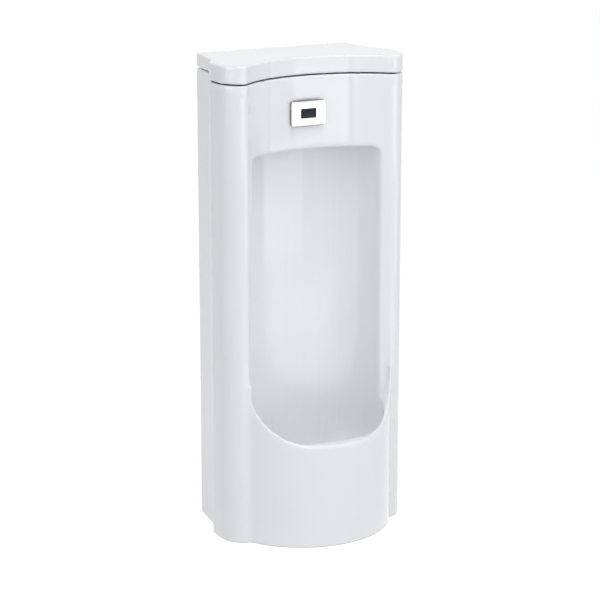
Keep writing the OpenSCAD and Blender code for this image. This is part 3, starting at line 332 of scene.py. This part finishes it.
palePlasticSet = {"color": (0.66, 0.66, 0.63), "worn": (0.6, 0.595, 0.56), "grainScale": 1000.0,
                  "dust": 0.16, "rough": 0.4, "uneven": 0.16, "bump": 0.2}
palePlastic = moulded("palePlastic", palePlasticSet, Subsurface_Weight=0.08, Subsurface_Scale=0.002)

coilSet = {"color": (0.02, 0.035, 0.11), "worn": (0.03, 0.05, 0.14), "grainScale": 700.0,
           "dust": 0.12, "rough": 0.34, "uneven": 0.12, "bump": 0.18}
coilPlastic = moulded("coilPlastic", coilSet)

trapSet = {"color": (0.045, 0.2, 0.12), "worn": (0.06, 0.24, 0.15), "grainScale": 800.0,
           "dust": 0.1, "rough": 0.25, "uneven": 0.12, "bump": 0.12}
trapPlastic = moulded("trapPlastic", trapSet)

sheathSet = {"color": (0.016, 0.016, 0.018), "worn": (0.028, 0.028, 0.03), "grainScale": 1600.0,
             "dust": 0.1, "rough": 0.5, "uneven": 0.15, "bump": 0.15}
sheath = moulded("sheath", sheathSet)


# Metals: brushed, turned or cast, with the gloss broken up by handling
metalSet = {"dustScale": 30.0, "film": (0.5, 0.49, 0.46), "lineDepth": 0.00008}


def metal(name, settings):
    material, tree, shader, place = newMaterial(name, Metallic=1.0)
    brush = useGroup(tree, brushGroup, place, Stretch=settings["stretch"], Scale=settings["scale"])
    dust = useGroup(tree, dustGroup, place, Scale=metalSet["dustScale"], Dust=settings["dust"])
    tone = mixColor(tree, brush["Mask"], settings["color"], settings["shade"])
    dusty = mixColor(tree, dust["Dust"], tone, settings.get("film", metalSet["film"]))
    tree.links.new(dusty, shader.inputs["Base Color"])
    handledRoughness(tree, shader, dust["Handling"], settings["uneven"], settings["rough"])
    bump(tree, shader, brush["Height"], settings["bump"], metalSet["lineDepth"])
    return material


chromeSet = {"color": (0.93, 0.935, 0.945), "shade": (0.9, 0.905, 0.92), "stretch": (1.0, 1.0, 1.0),
             "scale": 300.0, "dust": 0.02, "rough": 0.035, "uneven": 0.03, "bump": 0.02}
chrome = metal("chrome", chromeSet)

steelSet = {"color": (0.62, 0.62, 0.61), "shade": (0.52, 0.52, 0.515), "stretch": (1.0, 26.0, 26.0),
            "scale": 110.0, "dust": 0.05, "rough": 0.24, "uneven": 0.1, "bump": 0.14}
steel = metal("steel", steelSet)

brassSet = {"color": (0.74, 0.54, 0.25), "shade": (0.6, 0.41, 0.18), "stretch": (1.0, 1.0, 2.5),
            "scale": 420.0, "dust": 0.12, "rough": 0.27, "uneven": 0.16, "bump": 0.3,
            "film": (0.36, 0.27, 0.15)}
brass = metal("brass", brassSet)


# The sensor's plate: polished face, and a rougher flank behind it whose darker colour is painted shade
plateSet = {
    "face": (0.955, 0.96, 0.965),
    # the flank's colour is painted shade for the plate's dark edges
    "shadedFlank": (0.3, 0.305, 0.315),
    "faceDepth": 0.0009,
    "flankOver": 0.0002,
    "rough": 0.03,
    "flankRough": 0.2,
    "smudged": 0.02,
    "smudgeScale": 60.0,
    "stretch": (1.0, 1.0, 30.0),
    "lineScale": 80.0,
    "lineBump": 0.015,
    "lineDepth": 0.00005,
}
plateChrome, tree, shader, place = newMaterial("plateChrome", Metallic=1.0)
plateFront = boxOf("sensor_bezel")[0].y
depth = addNode(tree, "SeparateXYZ", {0: place}).outputs["Y"]
shadedFlank = placeMask(tree, depth, plateFront + plateSet["faceDepth"], plateSet["flankOver"])
smudge = useGroup(tree, dustGroup, place, Scale=plateSet["smudgeScale"])["Handling"]
# the flank's darker colour is painted shade; face and flank are one chrome
tree.links.new(mixColor(tree, shadedFlank, plateSet["face"], plateSet["shadedFlank"]), shader.inputs["Base Color"])
added = calc(tree, "ADD", calc(tree, "MULTIPLY", shadedFlank, plateSet["flankRough"]),
             calc(tree, "MULTIPLY", smudge, plateSet["smudged"]))
tree.links.new(calc(tree, "ADD", added, plateSet["rough"]), shader.inputs["Roughness"])
hairlines = useGroup(tree, brushGroup, place, Stretch=plateSet["stretch"], Scale=plateSet["lineScale"])
bump(tree, shader, hairlines["Height"], plateSet["lineBump"], plateSet["lineDepth"])

# Polished dark window
windowSet = {"color": (0.022, 0.024, 0.037), "tint": (0.028, 0.03, 0.045), "index": 1.46, "shine": 0.15,
             "rough": 0.12, "smudged": 0.06, "smudgeScale": 110.0, "hazeScale": 60.0}
window, tree, shader, place = newMaterial("window", IOR=windowSet["index"],
                                          Specular_IOR_Level=windowSet["shine"])
smudge = useGroup(tree, dustGroup, place, Scale=windowSet["smudgeScale"])["Handling"]
haze = useGroup(tree, wavesGroup, place, Scale=windowSet["hazeScale"], Fine=0.0)
hazed = mixColor(tree, haze["Mask"], windowSet["color"], windowSet["tint"])
tree.links.new(hazed, shader.inputs["Base Color"])
handledRoughness(tree, shader, smudge, windowSet["smudged"], windowSet["rough"])

# Lacquered board: copper tracks under green lacquer, with pads where the tracks end
boardSet = {"lacquer": (0.012, 0.11, 0.04), "track": (0.03, 0.19, 0.07), "pad": (0.62, 0.6, 0.55),
            "coat": 0.4, "coatRough": 0.12, "rough": (0.25, 0.36), "roughScale": 300.0,
            "trackScale": 260.0, "trackWidth": 0.045, "trackBump": 0.15, "trackDepth": 0.00006,
            "padScale": 330.0, "padRadius": 0.12, "padOver": 0.03, "padMetal": 0.9}
board, tree, shader, place = newMaterial("board", Coat_Weight=boardSet["coat"],
                                         Coat_Roughness=boardSet["coatRough"])
upright = addNode(tree, "Mapping", {"Vector": place, "Rotation": (math.radians(90), 0, 0)}).outputs[0]
black, white = (0, 0, 0, 1), (1, 1, 1, 1)
tracks = addNode(tree, "TexBrick", {"Vector": upright, "Scale": boardSet["trackScale"],
                                    "Mortar Size": boardSet["trackWidth"], "Mortar": white,
                                    "Color1": black, "Color2": black}).outputs["Color"]
dots = addNode(tree, "TexVoronoi", {"Vector": place, "Scale": boardSet["padScale"]}).outputs["Distance"]
padMask = placeMask(tree, dots, boardSet["padRadius"], boardSet["padOver"], inverse=True)
green = mixColor(tree, tracks, boardSet["lacquer"], boardSet["track"])
tree.links.new(mixColor(tree, padMask, green, boardSet["pad"]), shader.inputs["Base Color"])
tree.links.new(calc(tree, "MULTIPLY", padMask, boardSet["padMetal"]), shader.inputs["Metallic"])
boardRough = spread(tree, noise(tree, place, boardSet["roughScale"]), *midRange, *boardSet["rough"])
tree.links.new(boardRough, shader.inputs["Roughness"])
bump(tree, shader, tracks, boardSet["trackBump"], boardSet["trackDepth"])

# Cells: a shrink wrap round the middle, bright steel at both ends
cellSet = {"wrap": (0.1, 0.105, 0.12), "band": (0.48, 0.3, 0.09), "can": (0.66, 0.66, 0.65),
           "endDepth": 0.0022, "bandDepth": 0.013, "over": 0.0001,
           "coat": 0.3, "coatRough": 0.1, "rough": (0.2, 0.34), "roughScale": 120.0,
           "creaseScale": 140.0, "creaseFine": 0.2, "creaseBump": 0.2, "creaseDepth": 0.0001}
cellWrap, tree, shader, place = newMaterial("cellWrap", Coat_Weight=cellSet["coat"],
                                            Coat_Roughness=cellSet["coatRough"])
cellLow, cellHigh = boxOf("batteries")
along = addNode(tree, "SeparateXYZ", {0: place}).outputs["Y"]
headEnd = placeMask(tree, along, cellHigh.y - cellSet["endDepth"], cellSet["over"])
footEnd = placeMask(tree, along, cellLow.y + cellSet["endDepth"], cellSet["over"], inverse=True)
ends = calc(tree, "MAXIMUM", headEnd, footEnd)
band = placeMask(tree, along, cellHigh.y - cellSet["bandDepth"], cellSet["over"])
wrap = mixColor(tree, band, cellSet["wrap"], cellSet["band"])
tree.links.new(mixColor(tree, ends, wrap, cellSet["can"]), shader.inputs["Base Color"])
tree.links.new(ends, shader.inputs["Metallic"])
wrapRough = spread(tree, noise(tree, place, cellSet["roughScale"]), *midRange, *cellSet["rough"])
tree.links.new(wrapRough, shader.inputs["Roughness"])
creases = useGroup(tree, wavesGroup, place, Scale=cellSet["creaseScale"], Fine=cellSet["creaseFine"])
bump(tree, shader, creases["Height"], cellSet["creaseBump"], cellSet["creaseDepth"])
print("finishes mixed")


# The urinal's body and lid: a fine skin over the solid, smoothed so that each edge is rounded as
# thick glaze rounds it, then thinned where it is flat
glazeSet = {
    "grain": 0.0026,       # metres between the skin's points
    "quickGrain": 0.006,
    "ease": 0.5,           # how far each smoothing pass goes
    "passes": 8,
    "frontPasses": 34,     # more of them on the front, between these heights on the body
    "bodyFront": (0.16, 0.94),
    "lidMargin": 0.009,    # and no nearer than this to the lid's upper and lower edge
    "frontBack": 0.03,     # the front is what lies ahead of this depth
    "quickPasses": 2,
    "bodyFaces": 190000,
    "lidFaces": 76000,
}


def smoothOver(piece, passes, **where):
    passes = passes
    modify(piece, "SMOOTH", factor=glazeSet["ease"], iterations=passes, **where)


def glazeOver(nodeName, pieceName, body, faces, frontLow, frontHigh):
    piece = ownCopy(nodeName, pieceName)
    grain = glazeSet["grain"]
    modify(piece, "REMESH", mode="VOXEL", voxel_size=grain, use_smooth_shade=True)
    # the skin's points are set back on the solid's own faces, so that each edge runs true
    form = ownCopy(nodeName, pieceName + "Form")
    modify(piece, "SHRINKWRAP", target=form, wrap_method="NEAREST_SURFACEPOINT")
    bpy.data.objects.remove(form)
    smoothOver(piece, glazeSet["passes"])
    front = piece.vertex_groups.new(name="front")
    points = [point.index for point in piece.data.vertices
              if frontLow < point.co.z < frontHigh and point.co.y < glazeSet["frontBack"]]
    front.add(points, 1.0, "REPLACE")
    smoothOver(piece, glazeSet["frontPasses"], vertex_group="front")
    piece.vertex_groups.clear()
    share = faces / triangleCount(piece)
    if share < 1:
        modify(piece, "DECIMATE", ratio=share)
    finishPiece(piece, [nodeName], body, china)
    print(pieceName, "glazed,", triangleCount(piece), "triangles")


glazeOver("ceramic_body", "glazedBody", "urinal", glazeSet["bodyFaces"], *glazeSet["bodyFront"])
lidLow, lidHigh = boxOf("top_cover")
glazeOver("top_cover", "glazedLid", "lid", glazeSet["lidFaces"],
          lidLow.z + glazeSet["lidMargin"], lidHigh.z - glazeSet["lidMargin"])


# The small pieces: copies of the solids with their flat faces joined and each sharp edge eased
easeSet = {"flatWithin": 0.5, "from": 35, "smooth": 32, "roundSmooth": 50, "segments": 2, "levels": 1}


def eased(nodeName, pieceName, settings, material, body="urinal"):
    piece = ownCopy(nodeName, pieceName)
    bpy.ops.object.mode_set(mode="EDIT")
    bpy.ops.mesh.select_all(action="SELECT")
    bpy.ops.mesh.dissolve_limited(angle_limit=math.radians(easeSet["flatWithin"]))
    bpy.ops.mesh.select_all(action="SELECT")
    bpy.ops.mesh.normals_make_consistent(inside=False)
    bpy.ops.object.mode_set(mode="OBJECT")
    settings = {**easeSet, **settings}
    modify(piece, "BEVEL", width=settings["bevel"], segments=settings["segments"], limit_method="ANGLE",
           angle_limit=math.radians(settings["from"]), harden_normals=False, use_clamp_overlap=True)
    return finishPiece(piece, [nodeName], body, material, settings["smooth"])


# Round pieces with no sharp edge to ease, made smoother than their solids
def rounded(nodeName, pieceName, material):
    piece = ownCopy(nodeName, pieceName)
    modify(piece, "SUBSURF", levels=easeSet["levels"], render_levels=easeSet["levels"])
    return finishPiece(piece, [nodeName], "urinal", material, easeSet["roundSmooth"])


# Pieces modelled here: made at the origin, then settled in their place
makeSet = {"blockSegments": 3, "ringAround": 96, "ringAcross": 10, "blockSmooth": 40, "ringSmooth": 60}


def settle(piece, place):
    piece.location = place
    pick(piece)
    bpy.ops.object.transform_apply(location=True, rotation=True, scale=True)


def newBlock(name, size, bevel):
    pickNone()
    bpy.ops.mesh.primitive_cube_add(size=1)
    piece = bpy.context.object
    piece.name = piece.data.name = name
    piece.scale = size
    settle(piece, (0, 0, 0))
    modify(piece, "BEVEL", width=bevel, segments=makeSet["blockSegments"])
    return piece


def newRing(name, radius, thickness):
    pickNone()
    bpy.ops.mesh.primitive_torus_add(major_radius=radius, minor_radius=thickness,
                                     major_segments=makeSet["ringAround"],
                                     minor_segments=makeSet["ringAcross"])
    piece = bpy.context.object
    piece.name = piece.data.name = name
    return piece


def repeat(piece, count, step):
    modify(piece, "ARRAY", count=count, use_relative_offset=False, use_constant_offset=True,
           constant_offset_displace=step)


padSet = {"bevel": 0.0004}
eased("cover_pads", "coverPads", padSet, greyRubber)
eased("bracket_pads", "bracketPads", padSet, rubber)

# Sensor
sensorSet = {
    "plate": {"bevel": 0.00045, "segments": 3},
    "window": {"bevel": 0.0002},
    "gasket": {"bevel": 0.00015},
    "housing": {"bevel": 0.0006},
    "board": {"bevel": 0.0001},
    "diodes": {"bevel": 0.0001, "from": 50},
    "clamp": {"bevel": 0.0003},
    "nuts": {"bevel": 0.0003},
}
eased("sensor_bezel", "sensorPlate", sensorSet["plate"], plateChrome)
eased("sensor_window", "sensorWindow", sensorSet["window"], window)
eased("sensor_gasket", "sensorGasket", sensorSet["gasket"], rubber)
eased("sensor_housing", "sensorHousing", sensorSet["housing"], darkPlastic)
eased("sensor_board", "sensorBoard", sensorSet["board"], board)
eased("sensor_diodes", "sensorDiodes", sensorSet["diodes"], darkPlastic)
# Small parts on the board, ahead of its lower half: one resistor, repeated
resistorSet = {"size": (0.0016, 0.0009, 0.0032), "bevel": 0.0002, "count": 5, "pitch": 0.003,
               "start": 0.0065, "low": 0.0075, "boardThickness": 0.0016}
boardLow, boardHigh = boxOf("sensor_board")
boardFace = boardHigh.y - resistorSet["boardThickness"]
resistors = newBlock("resistors", resistorSet["size"], resistorSet["bevel"])
repeat(resistors, resistorSet["count"], (resistorSet["pitch"], 0, 0))
settle(resistors, (resistorSet["start"], boardFace - resistorSet["size"][1] / 2,
                   boardLow.z + resistorSet["low"]))
finishPiece(resistors, [], "urinal", darkPlastic, makeSet["blockSmooth"])
eased("sensor_clamp", "sensorClamp", sensorSet["clamp"], steel)
eased("clamp_nuts", "clampNuts", sensorSet["nuts"], steel)
print("sensor made")

# Cables
rounded("sensor_cable", "sensorLead", sheath)
rounded("valve_cable", "valveLead", sheath)

# Battery box
batterySet = {
    "box": {"bevel": 0.0007},
    "door": {"bevel": 0.0006},
    "pin": {"bevel": 0.0003},
    "cells": {"bevel": 0.0005},
}
eased("battery_box", "batteryBox", batterySet["box"], palePlastic)
eased("battery_door", "batteryDoor", batterySet["door"], palePlastic, "door")
eased("door_pin", "doorPin", batterySet["pin"], steel)
eased("batteries", "cells", batterySet["cells"], cellWrap)

# Ribs for the thumb on the door's free edge: one rib, repeated
ribSet = {"size": (0.022, 0.0011, 0.0011), "bevel": 0.0004, "count": 6, "pitch": 0.0022, "inset": 0.004,
          "reach": 0.02}
doorLow, doorHigh = boxOf("battery_door")
doorTop = max(point.co.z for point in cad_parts["battery_door"].data.vertices
              if point.co.y < doorLow.y + ribSet["reach"])
gripRibs = newBlock("gripRibs", ribSet["size"], ribSet["bevel"])
repeat(gripRibs, ribSet["count"], (0, ribSet["pitch"], 0))
settle(gripRibs, ((doorLow.x + doorHigh.x) / 2, doorLow.y + ribSet["inset"], doorTop))
finishPiece(gripRibs, [], "door", palePlastic, makeSet["blockSmooth"])
print("battery box made")

# Valve
valveSet = {
    "body": {"bevel": 0.0008},
    "diaphragm": {"bevel": 0.0003},
    "bonnet": {"bevel": 0.0008},
    "screws": {"bevel": 0.0003},
    "coil": {"bevel": 0.0012, "segments": 3},
    "tube": {"bevel": 0.0003},
    "plunger": {"bevel": 0.0003},
    "spindle": {"bevel": 0.0003},
    "inlet": {"bevel": 0.0005},
    "nuts": {"bevel": 0.0006},
    "grommet": {"bevel": 0.0006},
    "bracket": {"bevel": 0.0005},
}
eased("valve_body", "valveBody", valveSet["body"], brass)
eased("valve_diaphragm", "diaphragm", valveSet["diaphragm"], rubber)
eased("valve_bonnet", "bonnet", valveSet["bonnet"], darkPlastic)
bonnetScrews = eased("bonnet_screws", "bonnetScrews", valveSet["screws"], steel)
# Sockets in the screws' heads: the points on top are sorted by head, and each head is cut at its middle
socketSet = {"sides": 6, "radius": 0.0013, "depth": 0.0014, "headReach": 0.00616, "topWithin": 0.0001}
screwTop = boxOf("bonnet_screws")[1].z
topPoints = [point.co.copy() for point in bonnetScrews.data.vertices
             if point.co.z > screwTop - socketSet["topWithin"]]
screwHeads = []
for point in topPoints:
    near = [head for head in screwHeads if (head[0] - point).length < socketSet["headReach"]]
    if near:
        near[0].append(point)
    else:
        screwHeads.append([point])
for head in screwHeads:
    middle = sum(head, Vector()) / len(head)
    pickNone()
    bpy.ops.mesh.primitive_cylinder_add(vertices=socketSet["sides"], radius=socketSet["radius"],
                                        depth=2 * socketSet["depth"],
                                        location=(middle.x, middle.y, screwTop))
    cutter = bpy.context.object
    modify(bonnetScrews, "BOOLEAN", operation="DIFFERENCE", object=cutter, solver="EXACT")
    bpy.data.objects.remove(cutter)
finishPiece(bonnetScrews, [], "urinal", steel, easeSet["smooth"])
print("screws:", len(screwHeads))
eased("solenoid_coil", "coil", valveSet["coil"], coilPlastic)
eased("core_tube", "coreTube", valveSet["tube"], steel)
eased("solenoid_plunger", "plunger", valveSet["plunger"], steel, "plunger")
spring = rounded("plunger_spring", "spring", steel)
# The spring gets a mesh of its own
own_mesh(spring)
eased("stop_spindle", "spindle", valveSet["spindle"], brass, "stop")
eased("inlet_pipe", "inletPipe", valveSet["inlet"], brass)
eased("inlet_nuts", "inletNuts", valveSet["nuts"], chrome)
eased("inlet_grommet", "inletGrommet", valveSet["grommet"], rubber)
eased("valve_bracket", "valveBracket", valveSet["bracket"], steel)
print("valve made")

# Flushing tube, spreader and the bushes of the wall fixings
spreaderSet = {
    "tube": {"bevel": 0.0003},
    "nuts": {"bevel": 0.0006},
    "head": {"bevel": 0.0004},
    "washers": {"bevel": 0.0004},
    "bushes": {"bevel": 0.0004},
}
eased("flush_tube", "flushTube", spreaderSet["tube"], chrome)
eased("outlet_nuts", "outletNuts", spreaderSet["nuts"], chrome)
eased("spreader", "spreaderHead", spreaderSet["head"], chrome)
eased("spreader_washers", "spreaderWashers", spreaderSet["washers"], rubber)
eased("spreader_nut", "spreaderNut", spreaderSet["nuts"], chrome)
# Thread on the spreader's stem, above its nut
stemSet = {"radius": 0.00985, "thickness": 0.00035, "pitch": 0.0014, "clear": 0.001}
headLow, headHigh = boxOf("spreader")
stemStart = boxOf("spreader_nut")[1].z + stemSet["clear"]
stemMiddle = (headLow + headHigh) / 2
stemThread = newRing("stemThread", stemSet["radius"], stemSet["thickness"])
stemTurns = int((headHigh.z - stemSet["clear"] - stemStart) / stemSet["pitch"])
repeat(stemThread, stemTurns, (0, 0, stemSet["pitch"]))
settle(stemThread, (stemMiddle.x, stemMiddle.y, stemStart))
finishPiece(stemThread, [], "urinal", chrome, makeSet["ringSmooth"])
eased("wall_bushes", "wallBushes", spreaderSet["bushes"], palePlastic)
print("spreader made")

# Drain
drainSet = {
    "strainer": {"bevel": 0.0004},
    "trap": {"bevel": 0.0005},
    "body": {"bevel": 0.0007},
    "rings": {"bevel": 0.0006},
    "nut": {"bevel": 0.0009},
    "seal": {"bevel": 0.003, "segments": 3},
}
eased("drain_strainer", "strainer", drainSet["strainer"], steel, "strainer")
eased("trap_insert", "trap", drainSet["trap"], trapPlastic)
eased("drain_body", "drain", drainSet["body"], palePlastic)
eased("drain_gasket", "drainGasket", drainSet["rings"], rubber)
eased("drain_washer", "drainWasher", drainSet["rings"], rubber)
eased("drain_nut", "drainNut", drainSet["nut"], palePlastic)
eased("floor_seal", "floorSeal", drainSet["seal"], rubber)
# Thread on the drain's tail, under its nut
tailSet = {"radius": 0.0293, "thickness": 0.0006, "pitch": 0.0025, "clear": 0.0015, "low": 0.046}
drainLow, drainHigh = boxOf("drain_body")
drainMiddle = (drainLow + drainHigh) / 2
nutLow = boxOf("drain_nut")[0].z
tailThread = newRing("tailThread", tailSet["radius"], tailSet["thickness"])
tailTurns = int((nutLow - tailSet["clear"] - tailSet["low"]) / tailSet["pitch"])
repeat(tailThread, tailTurns, (0, 0, tailSet["pitch"]))
settle(tailThread, (drainMiddle.x, drainMiddle.y, tailSet["low"]))
finishPiece(tailThread, [], "urinal", palePlastic, makeSet["ringSmooth"])
print("drain made")


# Plain studio: white floor that keeps the shadow, white surroundings, soft lamps all round, and
# low panels in front whose reflections draw the forehead's band and the bowl's lighter side
studioSet = {
    "ambient": 0.35,
    "ambientColor": (0.965, 0.98, 1.0),
    "lamps": {
        "right": {"power": 5.0, "size": (1.5, 1.5), "turn": 30.0, "distance": 3.0, "height": 2.1},
        "front": {"power": 23.0, "size": (2.4, 2.4), "turn": 0.0, "distance": 2.6, "height": 2.6},
        "left": {"power": 5.5, "size": (1.5, 1.5), "turn": -60.0, "distance": 3.0, "height": 1.2},
        "side": {"power": 13.0, "size": (1.5, 1.5), "turn": -85.0, "distance": 3.0, "height": 1.2},
        "top": {"power": 28.0, "size": (1.2, 1.2), "turn": -10.0, "distance": 0.9, "height": 3.3},
        "card": {"power": 3.0, "size": (2.3, 0.3), "turn": 10.0, "distance": 2.0, "height": 0.56},
        "low": {"power": 2.2, "size": (2.0, 0.35), "turn": 47.0, "distance": 2.0, "height": 0.25},
        "near": {"power": 0.7, "size": (1.4, 0.3), "turn": 15.0, "distance": 1.0, "height": 0.1},
    },
    "aim": (0, 0, 0.5),
    "floorGlow": 0.8,
    "floorBounce": 0.18,
    "floorColor": (0.55, 0.55, 0.55),
    "floorSize": 9.0,
}
world = bpy.data.worlds.new("studio")
bpy.context.scene.world = world
world.use_nodes = True
tree = world.node_tree
backdrop = tree.nodes["Background"]


def seenRay(tree):
    path = addNode(tree, "LightPath").outputs
    return calc(tree, "MAXIMUM", path["Is Camera Ray"],
                calc(tree, "MAXIMUM", path["Is Glossy Ray"], path["Is Transmission Ray"]))


seen = seenRay(tree)
tree.links.new(spread(tree, seen, 0.0, 1.0, studioSet["ambient"], 1.0), backdrop.inputs["Strength"])
tree.links.new(mixColor(tree, seen, studioSet["ambientColor"], (1, 1, 1)), backdrop.inputs["Color"])

pickNone()
bpy.ops.mesh.primitive_plane_add(size=studioSet["floorSize"], location=(0, 0, 0))
floor = bpy.context.object
floor.name = "floor"
floorMaterial = bpy.data.materials.new("floor")
floorMaterial.use_nodes = True
tree = floorMaterial.node_tree
tree.nodes.clear()
diffuse = addNode(tree, "BsdfDiffuse", {"Color": (*studioSet["floorColor"], 1)})
glow = addNode(tree, "Emission", {"Strength": spread(tree, seenRay(tree), 0.0, 1.0,
                                                     studioSet["floorBounce"], studioSet["floorGlow"])})
both = addNode(tree, "AddShader", {0: diffuse.outputs[0], 1: glow.outputs[0]})
addNode(tree, "OutputMaterial", {"Surface": both.outputs[0]})
floor.data.materials.append(floorMaterial)


def addLamp(name, settings):
    lamp = bpy.data.objects.new(name, bpy.data.lights.new(name, "AREA"))
    bpy.context.scene.collection.objects.link(lamp)
    lamp.data.energy = settings["power"]
    lamp.data.shape = "RECTANGLE"
    lamp.data.size, lamp.data.size_y = settings["size"]
    turn = math.radians(settings["turn"])
    lamp.location = (settings["distance"] * math.sin(turn), -settings["distance"] * math.cos(turn),
                     settings["height"])
    lamp.rotation_euler = (Vector(studioSet["aim"]) - lamp.location).to_track_quat("-Z", "Y").to_euler()


for lampName, lampSet in studioSet["lamps"].items():
    addLamp(lampName + "Lamp", lampSet)

view = bpy.context.scene.view_settings
view.view_transform = "Standard"
print("studio lit")
